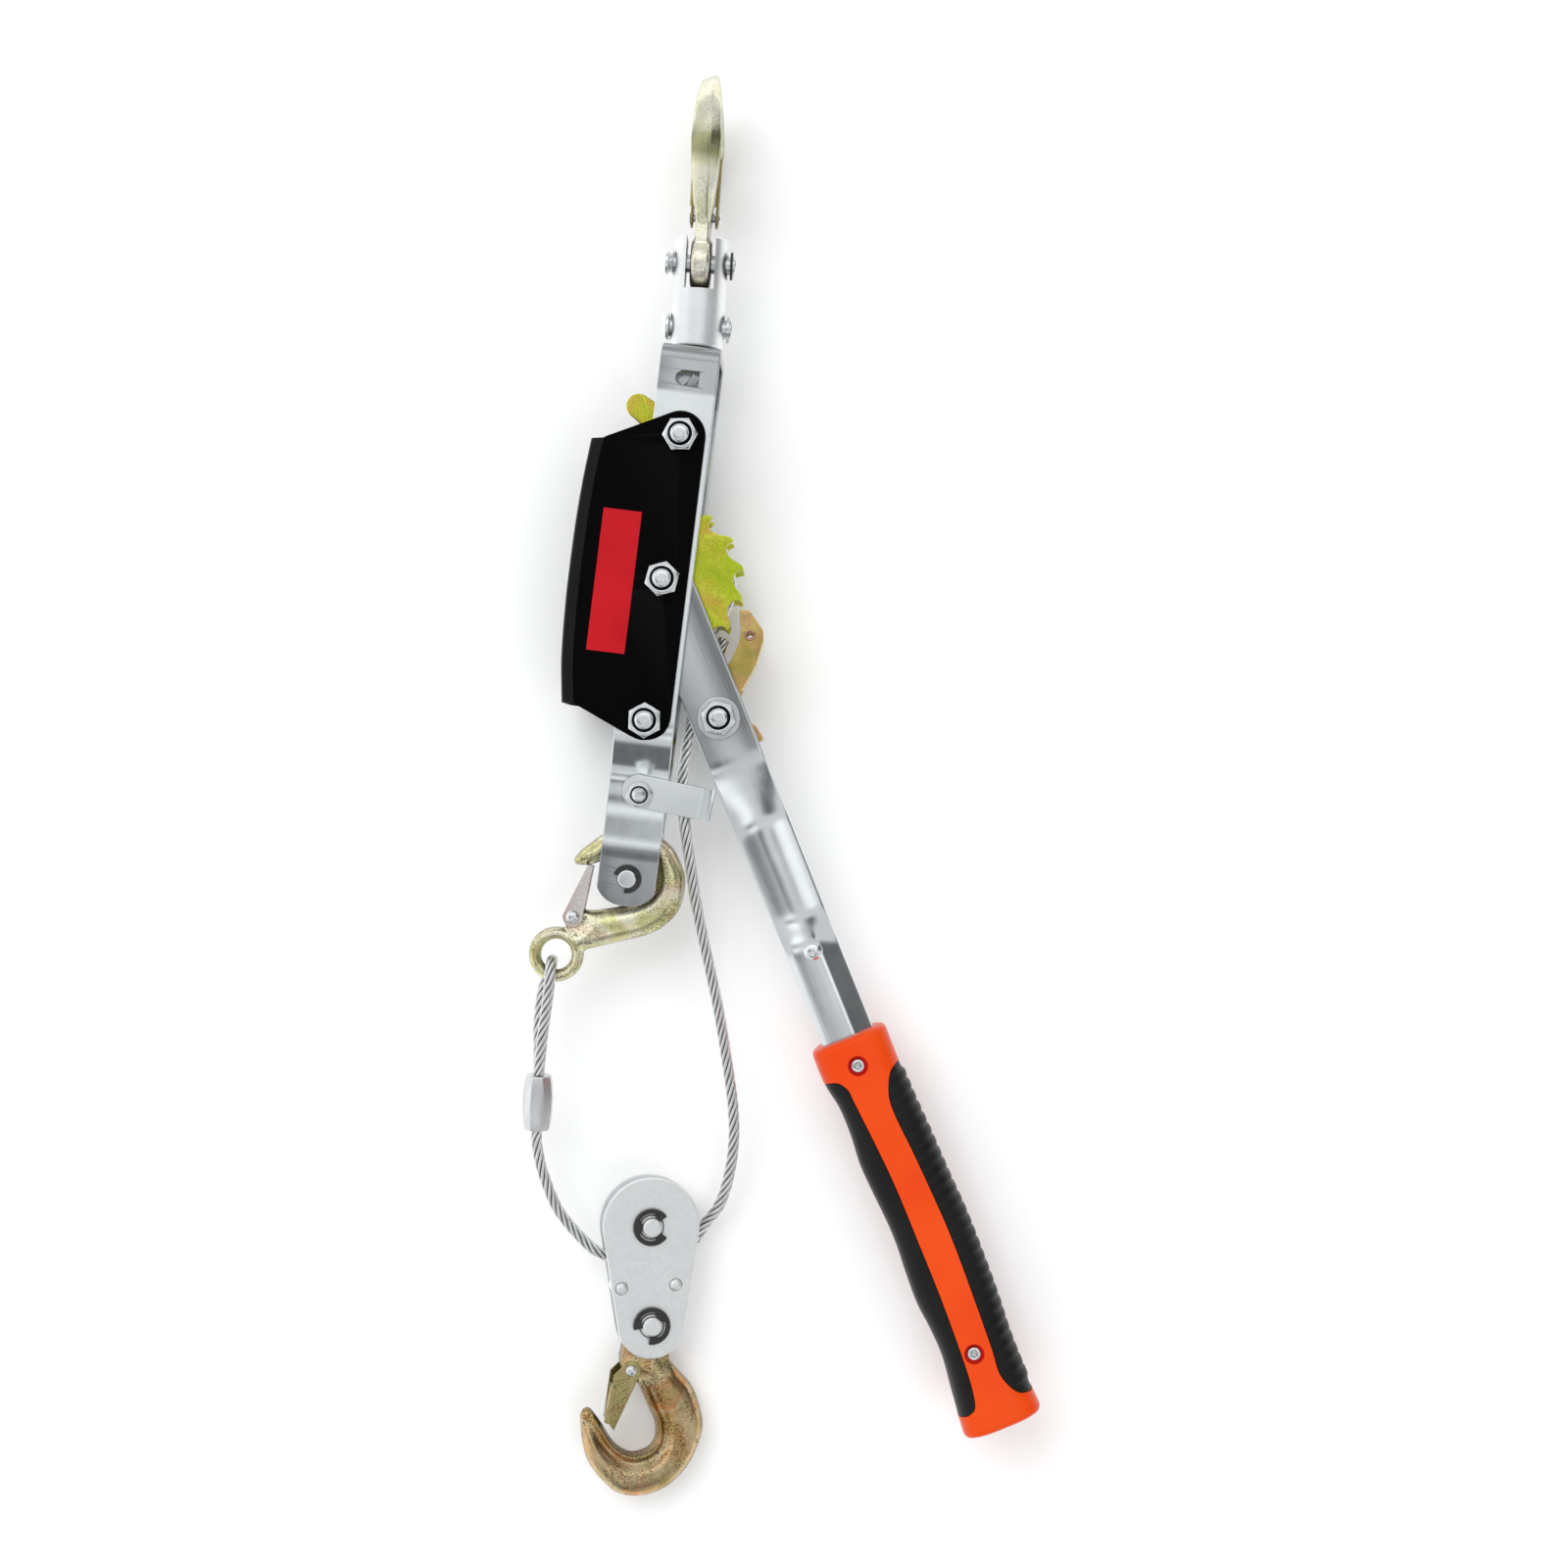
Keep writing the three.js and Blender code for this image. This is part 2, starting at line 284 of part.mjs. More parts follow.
function hook(sx, sy, eyeHalf, bodyHalf) {
  const k = (l) => l.map(([x, y]) => [x * sx, y * sy]);
  const outline = [...smooth(k(bowlOuter), 20), ...smooth(k(bowlInner), 11), ...k([[-6.5, -24], [-9.5, -24], [-12.4, -20], [-12.8, -14], [-11, -8]])];
  const lx = LATCH[0] * sx, ly = LATCH[1] * sy;
  const thick = cut(rounded(outline.reverse(), bodyHalf, 3.2, 2, 1), rod(15.4, -20, 20, 0, 0, 20), rod(8, -20, 20, lx, ly, 12));
  const neck = plate(k([[8.4, 2], [8.6, -9], [8.3, -15.5], [12, -21], [-1, -34], [-4.9, -26.4], [-6.5, -24], [-9.5, -24], [-12.4, -20], [-12.8, -14], [-11, -4]]).reverse(), -eyeHalf, eyeHalf);
  const eye = turned([[0, -eyeHalf], [10, -eyeHalf], [11.5, -eyeHalf + 1.6], [11.5, eyeHalf - 1.6], [10, eyeHalf], [0, eyeHalf]], 20);
  const rivet = turned([[0, -eyeHalf - 3], [1.6, -eyeHalf - 3], [2.7, -eyeHalf - 1.9], [1.6, -eyeHalf - 1.9], [1.6, eyeHalf + 1.9], [2.7, eyeHalf + 1.9], [1.6, eyeHalf + 3], [0, eyeHalf + 3]], 8).translate(lx, ly, 0);
  return cut(join(thick, neck, eye, rivet), rod(5.35, -20, 20, 0, 0, 16));
}
function latch(sx, sy, eyeHalf) {
  const lx = LATCH[0] * sx, ly = LATCH[1] * sy, a = eyeHalf + 0.45, b = a + 1.1;
  const k = (l) => l.map(([x, y]) => [x * sx, y * sy]);
  const leg = [...k([[-16.2, -21.3], [-19.2, -41], [-16.2, -45.2]]), ...k([[-4.6, -21.2]]), ...arc(lx, ly, 4.1, -10, 150, 5)].reverse();
  const web = k([[-16.2, -26], [-19.2, -41], [-17.6, -41.6], [-15.1, -26.4]]).reverse();
  const hole = [ring(lx, ly, 2.1, 8)];
  return join(plate(leg, a, b, hole), plate(leg, -b, -a, hole), plate(web, -b + 0.2, b - 0.2));
}

// Swivel head on the frame's bridge, top hook and its latch.
const head = new THREE.Group();
head.position.set(HEAD_X, BRIDGE_Y, 0);
head.rotation.z = rad(HEAD_LEAN);
mid.add(head);
{
  const cyl = new THREE.LatheGeometry(path2([[0, 1.5], [HEAD_R - 0.8, 1.5], [HEAD_R, 2.3], [HEAD_R, HEAD_TOP - 1], [HEAD_R - 1, HEAD_TOP], [0, HEAD_TOP]]), 24);
  put(head, "swivel_head", cut(cyl, box(-6.25, 6.25, HEAD_SLOT_Y, 60, -20, 20), rodY(5.35, -5, 20, 0, 0, 16), rodX(4.35, -20, 20, CROSS_PIN_Y, 0, 14), rodX(4.35, -20, 20, HEAD_PIN_Y, 0, 14)), zinc);
  const stud = new THREE.LatheGeometry(path2([[0, -8.4], [8, -8.4], [9, -7.6], [9, -5.1], [5, -5.1], [5, 18.6], [4.4, 19.2], [0, 19.2]]), 16);
  put(head, "swivel_stud", cut(stud, rodX(3.5, -20, 20, CROSS_PIN_Y, 0, 12)), zinc);
  const crossPin = turned([[0, -15.2], [4.2, -15], [5.75, -13.4], [5.75, -12], [4, -12], [4, -6.2], [3.1, -6.2], [3.1, 6.2], [4, 6.2], [4, 14.6], [3.4, 15.2], [0, 15.2]], 14).rotateY(Math.PI / 2).translate(0, CROSS_PIN_Y, 0);
  put(head, "cross_pin", crossPin, zinc);
  put(head, "cross_pin_eclip", solid(eclip(4.3, 6, 0, 1.1, 0, 0, 250, 90).rotateY(Math.PI / 2).translate(12.6, CROSS_PIN_Y, 0)), zinc);
  const pin = turned([[0, -15.2], [5.2, -15.2], [5.2, -13.9], [4, -13.4], [4, -12.6], [5.2, -12.2], [5.2, -11.9], [4, -11.9], [4, 14.6], [3.4, 15.2], [0, 15.2]], 14).rotateY(Math.PI / 2).translate(0, HEAD_PIN_Y, 0);
  put(head, "hook_pivot_pin", pin, zinc);
  put(head, "hook_pivot_eclip", solid(eclip(4.3, 6, 0, 1.1, 0, 0, 70, 90).rotateY(Math.PI / 2).translate(12.6, HEAD_PIN_Y, 0)), blackSteel);
  const up = new THREE.Group(); // the hook stands on edge, its tip towards the floor
  up.position.set(0, HEAD_PIN_Y, 0);
  up.setRotationFromMatrix(new THREE.Matrix4().makeBasis(new THREE.Vector3(0, 0, 1), new THREE.Vector3(0, -1, 0), new THREE.Vector3(1, 0, 0)));
  head.add(up);
  put(up, "top_hook", hook(1.03, 1.09, 4.4, 6.6), yellowZinc);
  put(up, "top_latch", latch(1.03, 1.09, 4.4), yellowZinc);
}

// ---------------------------------------------------------------- pulley block
const block = new THREE.Group();
block.position.set(BLOCK_POS[0], BLOCK_POS[1], BLOCK_POS[2] - MID);
block.rotation.set(0, rad(BLOCK_ROLL), rad(BLOCK_TURN), "ZYX");
mid.add(block);
{
  const P = -BLOCK_PITCH, rivets = [[-13, -26.3], [10.6, -25.4]];
  const egg = hull2(0, 0, BLOCK_R1, 0, P, BLOCK_R2, 12);
  const holes = [ring(0, 0, 5.35, 14), ring(0, P, 5.35, 14), ...rivets.map(([x, y]) => ring(x, y, 3, 10))];
  put(block, "block_plate_front", plate(egg, 5.5, 8.3, holes), galvanised);
  put(block, "block_plate_rear", plate(egg, -8.3, -5.5, holes), galvanised);
  const pin = (y) => turned([[0, -11.6], [6.4, -11.6], [7, -11], [7, -8.6], [5, -8.6], [5, 8.5], [4.1, 8.5], [4.1, 11], [3.5, 11.6], [0, 11.6]], 14).translate(0, y, 0);
  put(block, "sheave_pin", pin(0), galvanised);
  put(block, "block_hook_pin", pin(P), galvanised);
  put(block, "sheave_pin_eclip", eclip(4.4, 8, 8.8, 9.9, 0, 0, 0, 70, 1.6), blackSteel);
  put(block, "block_hook_pin_eclip", eclip(4.4, 8, 8.8, 9.9, 0, P, 225, 70, 1.6), blackSteel);
  rivets.forEach(([x, y], i) =>
    put(block, ["block_rivet_left", "block_rivet_right"][i], solid(turned([[0, -8.9], [2.6, -8.7], [2.6, -5.2], [4, -5.2], [4, 5.2], [2.6, 5.2], [2.6, 8.7], [0, 8.9]], 12).translate(x, y, 0)), galvanised),
  );
  put(block, "sheave", solid(turned([[5.25, -4.8], [17.6, -4.8], [18.5, -4.2], [13.4, -1.9], [13.4, 1.9], [18.5, 4.2], [17.6, 4.8], [5.25, 4.8], [5.25, -4.8]], 24)), zinc);
  const hang = new THREE.Group();
  hang.position.set(0, P, 0);
  block.add(hang);
  put(hang, "block_hook", hook(1, 1, 4.8, 7), yellowZinc);
  put(hang, "block_latch", latch(1, 1, 4.8), yellowZinc);
}

// ---------------------------------------------------------------- end hook on the frame's lower pin
{
  const outer = [[-24.3, -121.6], [-21.4, -117.2], [-17.4, -113.4], [-13.8, -110], [-6, -105.5], [2, -103.8], [8, -105.3], [12.5, -108.4], [17.1, -111.6], [21.7, -118.2], [24.3, -125], [23.3, -137.4], [18.3, -144.7], [12.5, -149.3], [0.1, -154.2], [-13.6, -159.2]];
  const inner = [[-12.4, -142.2], [-1.8, -139.2], [6.2, -135.4], [11, -130.6], [11.9, -125.4], [10, -120], [5.6, -116], [-0.6, -114.6], [-7.6, -117.8], [-13.6, -121.7], [-18, -123.6], [-23.1, -123.9]];
  const outline = [...smooth(outer, 20), [-22, -166], [-23.6, -153], ...arc(-21.4, -146.1, 3.8, 190, 60, 4), ...smooth(inner, 14)];
  const EYE = [-26.7, -163.05];
  const body = cut(rounded(outline, 6.4, 2.8, 1.7, 1), rod(8, -20, -4.4, -21.4, -146.1, 12), rod(8, 4.4, 20, -21.4, -146.1, 12));
  const eye = turned([[6.6, -2.2], [8.2, -4], [10, -4], [11.85, -2.2], [11.85, 2.2], [10, 4], [8.2, 4], [6.6, 2.2], [6.6, -2.2]], 20).translate(...EYE, 0);
  const rivet = turned([[0, -7.3], [1.9, -6.9], [3.1, -5.9], [1.6, -5.9], [1.6, 5.9], [3.1, 5.9], [1.9, 6.9], [0, 7.3]], 8).translate(-21.4, -146.1, 0);
  put(mid, "end_hook", join(cut(body, rod(9, -20, 20, ...EYE, 20)), eye, rivet), yellowZinc);
  const leg = [...arc(-21.4, -146.1, 4.3, -190, 10, 8), [-15.4, -123.5], [-17.8, -123.3]];
  const web = [[-22.9, -139], [-18.2, -124.6], [-16.9, -124.8], [-21.5, -139.2]].reverse();
  const hole = [ring(-21.4, -146.1, 2, 10)];
  put(mid, "end_latch", join(plate(leg, 4.6, 5.6, hole), plate(leg, -5.6, -4.6, hole), plate(web, -5.2, 5.2)), yellowZinc);
}

// ---------------------------------------------------------------- steel cable
const blockMatrix = new THREE.Matrix4().compose(block.position, new THREE.Quaternion().setFromEuler(block.rotation), new THREE.Vector3(1, 1, 1));
const onBlock = (x, y) => new THREE.Vector3(x, y, 0).applyMatrix4(blockMatrix);
const at = (x, y, z) => new THREE.Vector3(x, y, z - MID);
// Ferrule: its axis runs from the loop's foot to the run's end.
const FERRULE_TOP = at(-28.1, -215.6, 27.6), FERRULE_FOOT = at(-26.2, -239.8, 25.2);
const runRoute = [
  at(28.3, -20.4, 40), at(24, -36.7, 40), at(18.9, -58.5, 40.3), at(17.9, -77.7, 40.5), at(19.2, -90.3, 40.4), at(21.2, -100, 39.8), at(25.6, -117.2, 37.8), at(31.3, -137.9, 34.6), at(38.3, -158.4, 31), at(44.6, -177, 27.6),
  at(51, -199, 23.4), at(56.5, -220.7, 19), at(58.6, -235.6, 16), at(58.4, -251, 12.9), at(55.9, -264.5, 10.7),
  onBlock(24.6, -1), onBlock(19.4, -8.3), onBlock(12, -13.4), onBlock(4, -16.4), onBlock(-4, -16.8), onBlock(-13, -14.8), onBlock(-22.9, -11), onBlock(-30, -4.6),
  at(-13.1, -273.4, 20.8), at(-19.1, -263, 22.6), at(-23.5, -252.8, 24), at(-26, -243, 25), FERRULE_FOOT,
];
const tube = (curve, steps, sides, from = 0, to = 1) => {
  // A stretch of the curve as a straight-sided tube with flat ends.
  const pts = Array.from({ length: 4 * steps + 1 }, (_, i) => curve.getPointAt(from + ((to - from) * i) / (4 * steps)));
  return new THREE.ExtrudeGeometry(shapeOf(ring(0, 0, CABLE_R, sides)), { steps, bevelEnabled: false, extrudePath: new THREE.CatmullRomCurve3(pts, false, "centripetal") });
};
const run = new THREE.CatmullRomCurve3(runRoute, false, "centripetal");
const runLength = run.getLength();
// The run is two solids that meet under the sheave, so that each side can pay out with the block.
const UNDER_SHEAVE = onBlock(0, -16.8);
let under = 0;
for (let i = 0; i <= 2000; i++) if (run.getPointAt(i / 2000).distanceTo(UNDER_SHEAVE) < run.getPointAt(under).distanceTo(UNDER_SHEAVE)) under = i / 2000;
put(mid, "cable_run_right", tube(run, 26, 8, 0, under - 0.15 / runLength), wire);
put(mid, "cable_run_left", tube(run, 9, 8, under + 0.15 / runLength, 1 - 0.35 / runLength), wire);
const loopRoute = [
  [-28.1, -215.6, 30.4], [-28.1, -206, 31.6], [-28.2, -197, 33.4], [-27.8, -187, 35.6], [-27.6, -177, 38], [-27.8, -171.5, 39.3], [-28, -167, 36.9], [-28.1, -165.7, 32],
  [-28.4, -167, 27.1], [-29.2, -171.5, 24.7], [-30.8, -177, 25], [-31.4, -187, 25.1], [-30.8, -197, 25.1], [-29.6, -206, 25], [-28.3, -215.6, 24.9],
].map((p) => at(...p));
const loop = new THREE.CatmullRomCurve3(loopRoute, false, "centripetal");
const loopLength = loop.getLength();
put(mid, "cable_loop", tube(loop, 15, 8, 0.7 / loopLength, 1 - 0.7 / loopLength), wire);
{
  const axis = new THREE.Vector3().subVectors(FERRULE_TOP, FERRULE_FOOT), length = axis.length();
  const g = new THREE.LatheGeometry(path2([[0, -length / 2], [5.5, -length / 2], [6.4, -length / 2 + 3.5], [7, -3], [7, 3], [6.4, length / 2 - 3.5], [5.6, length / 2], [0, length / 2]]), 12);
  const ferrule = put(mid, "ferrule", g, alloy);
  ferrule.position.addVectors(FERRULE_TOP, FERRULE_FOOT).multiplyScalar(0.5);
  ferrule.quaternion.setFromUnitVectors(new THREE.Vector3(0, 1, 0), axis.normalize());
}

export default winch;
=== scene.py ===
import json
import math

import bmesh
import bpy
import numpy as np
from mathutils import Matrix, Vector
from mathutils.geometry import tessellate_polygon

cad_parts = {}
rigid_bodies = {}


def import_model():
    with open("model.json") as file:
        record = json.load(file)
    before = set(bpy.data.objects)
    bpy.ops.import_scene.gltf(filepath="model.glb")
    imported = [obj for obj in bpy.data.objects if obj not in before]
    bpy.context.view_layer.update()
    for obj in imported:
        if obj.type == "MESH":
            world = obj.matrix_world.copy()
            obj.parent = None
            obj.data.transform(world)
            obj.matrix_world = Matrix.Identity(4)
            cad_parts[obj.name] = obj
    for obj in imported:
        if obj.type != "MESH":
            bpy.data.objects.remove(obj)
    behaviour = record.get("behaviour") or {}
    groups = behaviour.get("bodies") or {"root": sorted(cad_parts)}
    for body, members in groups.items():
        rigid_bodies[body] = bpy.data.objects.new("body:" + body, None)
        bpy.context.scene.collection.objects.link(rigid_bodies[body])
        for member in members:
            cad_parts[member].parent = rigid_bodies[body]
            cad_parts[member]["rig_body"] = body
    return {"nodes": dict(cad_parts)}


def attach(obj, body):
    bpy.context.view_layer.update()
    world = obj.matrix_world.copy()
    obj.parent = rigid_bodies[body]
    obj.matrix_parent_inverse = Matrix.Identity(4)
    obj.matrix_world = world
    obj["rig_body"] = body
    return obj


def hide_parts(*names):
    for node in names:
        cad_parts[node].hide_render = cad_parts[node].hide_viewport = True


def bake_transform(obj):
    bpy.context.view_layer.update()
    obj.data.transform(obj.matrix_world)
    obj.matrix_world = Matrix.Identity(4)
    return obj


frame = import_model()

MM = 0.001
MID = 32.0
rad = math.radians
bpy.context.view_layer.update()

# ------------------------------------------------------------ camera: straight down, turned a little
cam_data = bpy.data.cameras.new("camera")
cam_data.angle = 2 * math.atan(336 / 1150)
cam_data.clip_start = 0.01
cam = bpy.data.objects.new("camera", cam_data)
bpy.context.scene.collection.objects.link(cam)
cam.matrix_world = Matrix(((0.9923, -0.1236, 0, 0.0611), (0.1236, 0.9923, 0, -0.0787), (0, 0, 1, 1.182), (0, 0, 0, 1)))
bpy.context.scene.camera = cam
bpy.context.scene.view_settings.view_transform = "Standard"


# ------------------------------------------------------------ node materials
class Net:
    def __init__(self, name):
        self.mat = bpy.data.materials.new(name)
        self.mat.use_nodes = True
        self.t = self.mat.node_tree
        self.t.nodes.clear()
        self.out = self.t.nodes.new("ShaderNodeOutputMaterial")
        self.p = self.t.nodes.new("ShaderNodeBsdfPrincipled")
        self.t.links.new(self.p.outputs[0], self.out.inputs[0])
        self.coord = self.t.nodes.new("ShaderNodeTexCoord")

    def put(self, target, value):
        if isinstance(value, bpy.types.NodeSocket):
            self.t.links.new(value, target)
        elif isinstance(value, (tuple, list)):
            target.default_value = (*value, 1.0) if len(value) == 3 and len(target.default_value) == 4 else value
        else:
            target.default_value = value

    def mapping(self, scale=(1, 1, 1), rot=(0, 0, 0), source="Object"):
        m = self.t.nodes.new("ShaderNodeMapping")
        m.inputs["Scale"].default_value = scale
        m.inputs["Rotation"].default_value = rot
        self.t.links.new(self.coord.outputs[source], m.inputs["Vector"])
        return m.outputs[0]

    def local(self, stretch=(1, 1, 1), deg=0.0):
        """Coordinates along a piece that lies turned by deg; a small stretch value draws the pattern out that way."""
        m = self.t.nodes.new("ShaderNodeMapping")
        m.vector_type = "TEXTURE"
        m.inputs["Rotation"].default_value = (0, 0, rad(deg))
        m.inputs["Scale"].default_value = [1 / k for k in stretch]
        self.t.links.new(self.coord.outputs["Object"], m.inputs["Vector"])
        return m.outputs[0]

    def noise(self, scale, vec=None, detail=4.0, rough=0.55, distortion=0.0):
        n = self.t.nodes.new("ShaderNodeTexNoise")
        n.inputs["Scale"].default_value = scale
        n.inputs["Detail"].default_value = detail
        n.inputs["Roughness"].default_value = rough
        n.inputs["Distortion"].default_value = distortion
        self.t.links.new(vec if vec is not None else self.mapping(), n.inputs["Vector"])
        return n.outputs[0]

    def voronoi(self, scale, vec=None, what="Color"):
        n = self.t.nodes.new("ShaderNodeTexVoronoi")
        n.inputs["Scale"].default_value = scale
        self.t.links.new(vec if vec is not None else self.mapping(), n.inputs["Vector"])
        return n.outputs[what]

    def ramp(self, fac, stops, mode="LINEAR"):
        r = self.t.nodes.new("ShaderNodeValToRGB")
        e = r.color_ramp.elements
        r.color_ramp.interpolation = mode
        while len(e) < len(stops):
            e.new(0.5)
        for k, (pos, col) in enumerate(stops):
            e[k].position = pos
            e[k].color = (*col, 1.0) if len(col) == 3 else col
        self.t.links.new(fac, r.inputs[0])
        return r.outputs[0]

    def span(self, fac, lo, hi, a=0.3, b=0.7):
        m = self.t.nodes.new("ShaderNodeMapRange")
        m.inputs["From Min"].default_value = a
        m.inputs["From Max"].default_value = b
        m.inputs["To Min"].default_value = lo
        m.inputs["To Max"].default_value = hi
        self.t.links.new(fac, m.inputs["Value"])
        return m.outputs[0]

    def mix(self, fac, a, b, mode="MIX"):
        m = self.t.nodes.new("ShaderNodeMix")
        m.data_type = "RGBA"
        m.blend_type = mode
        self.put(m.inputs[0], fac)
        self.put(m.inputs[6], a)
        self.put(m.inputs[7], b)
        return m.outputs[2]

    def math(self, op, a, b=0.0):
        m = self.t.nodes.new("ShaderNodeMath")
        m.operation = op
        self.put(m.inputs[0], a)
        self.put(m.inputs[1], b)
        return m.outputs[0]

    def bump(self, height, distance, strength=1.0, normal=None):
        b = self.t.nodes.new("ShaderNodeBump")
        b.inputs["Strength"].default_value = strength
        b.inputs["Distance"].default_value = distance
        self.t.links.new(height, b.inputs["Height"])
        if normal is not None:
            self.t.links.new(normal, b.inputs["Normal"])
        return b.outputs[0]

    # Mask of sharp convex edges, from pointiness. Most materials paint their edges lighter with it, a painted
    # highlight; the forged kinds paint them darker, painted shade.
    def edge(self, lo=0.5, hi=0.56):
        g = self.t.nodes.new("ShaderNodeNewGeometry")
        return self.span(g.outputs["Pointiness"], 0.0, 1.0, lo, hi)

    def painted_shade(self, color, dist=0.004, low=0.4):
        """Painted shade: the colour darkened by ambient occlusion where pieces meet and in recesses."""
        a = self.t.nodes.new("ShaderNodeAmbientOcclusion")
        a.samples = 4
        a.inputs["Distance"].default_value = dist
        return self.mix(1.0, color, self.span(a.outputs["AO"], low, 1.0, 0.15, 0.75), "MULTIPLY")

    def sides(self, color, low=0.5):
        """Painted shade: the colour darker where a surface stands upright, going by the world normal's height."""
        g = self.t.nodes.new("ShaderNodeNewGeometry")
        z = self.t.nodes.new("ShaderNodeSeparateXYZ")
        self.t.links.new(g.outputs["Normal"], z.inputs[0])
        up = self.math("ABSOLUTE", z.outputs[2])
        return self.mix(1.0, color, self.span(up, low, 1.0, 0.1, 0.65), "MULTIPLY")

    def done(self, color, rough, metal=0.0, normal=None, coat=0.0, coat_rough=0.1, specular=0.5):
        self.put(self.p.inputs["Base Color"], color)
        self.put(self.p.inputs["Roughness"], rough)
        self.put(self.p.inputs["Metallic"], metal)
        self.p.inputs["Specular IOR Level"].default_value = specular
        self.p.inputs["Coat Weight"].default_value = coat
        self.p.inputs["Coat Roughness"].default_value = coat_rough
        if normal is not None:
            self.t.links.new(normal, self.p.inputs["Normal"])
        return self.mat


def zinc_bar(name, deg=0.0, tint=(0.84, 0.89, 0.90), low=0.08, high=0.15, painted_dark_bands=None):
    """Rolled flat bar with bright zinc: soft streaks along the bar, a few rougher clouds, light scratches. Past each
    listed height the colour drops to a share of the tint as painted dark reflection; sharp edges carry a painted
    highlight and recesses painted shade.
    """
    n = Net(name)
    streak = n.noise(330, n.local((1, 0.04, 1), deg), 3, 0.6)
    cloud = n.noise(26, n.local((1, 0.5, 1), deg), 5, 0.6)
    scratch = n.noise(1300, n.local((1, 0.012, 1), deg), 2, 0.5)
    cross = n.noise(240, n.local((0.1, 1, 1), deg), 3, 0.6)
    c = n.mix(n.span(cloud, 0, 1, 0.35, 0.68), [x * 0.84 for x in tint], [min(1, x * 1.1) for x in tint])
    c = n.mix(n.span(streak, 0.0, 0.25), c, (0.95, 0.97, 0.98))
    c = n.mix(n.span(cross, 0.0, 0.22, 0.45, 0.75), c, (0.66, 0.74, 0.77))
    # Painted dark reflection: past each listed stretch along the bar the colour is set to k times the tint.
    for a, b, k in painted_dark_bands or ():
        at = n.t.nodes.new("ShaderNodeSeparateXYZ")
        n.t.links.new(n.local((1, 1, 1), deg), at.inputs[0])
        c = n.mix(n.span(at.outputs[1], 0.0, 1.0, a, b), c, [k * x for x in tint])
    # Painted highlight on the sharp edges.
    c = n.mix(n.math("MULTIPLY", n.edge(), 0.5), c, (0.93, 0.95, 0.97))
    # Painted shade where pieces meet.
    c = n.painted_shade(c, 0.003, 0.35)
    r = n.math("ADD", n.span(streak, low, (low + high) / 2), n.span(cloud, 0.0, (high - low) / 2))
    b = n.bump(scratch, 0.00003, 0.3, n.bump(n.noise(75, n.local((1, 0.35, 1), deg), 3), 0.0003, 0.16))
    return n.done(c, r, 1.0, b)


def zinc_part(name, tint=(0.74, 0.77, 0.78), low=0.16, high=0.28, grain=700):
    n = Net(name)
    cloud = n.noise(48, None, 4, 0.55)
    fine = n.noise(grain, None, 3, 0.6)
    c = n.mix(n.span(cloud, 0, 1, 0.35, 0.65), [x * 0.88 for x in tint], [min(1, x * 1.08) for x in tint])
    c = n.mix(n.span(fine, 0.0, 0.18, 0.5, 0.75), c, [x * 0.7 for x in tint])
    # Painted highlight on the sharp edges; painted shade where pieces meet in the return below.
    c = n.mix(n.math("MULTIPLY", n.edge(), 0.45), c, (0.93, 0.95, 0.96))
    return n.done(n.painted_shade(c, 0.003, 0.3), n.span(cloud, low, high), 1.0, n.bump(fine, 0.00002, 0.3, n.bump(cloud, 0.0002, 0.2)))


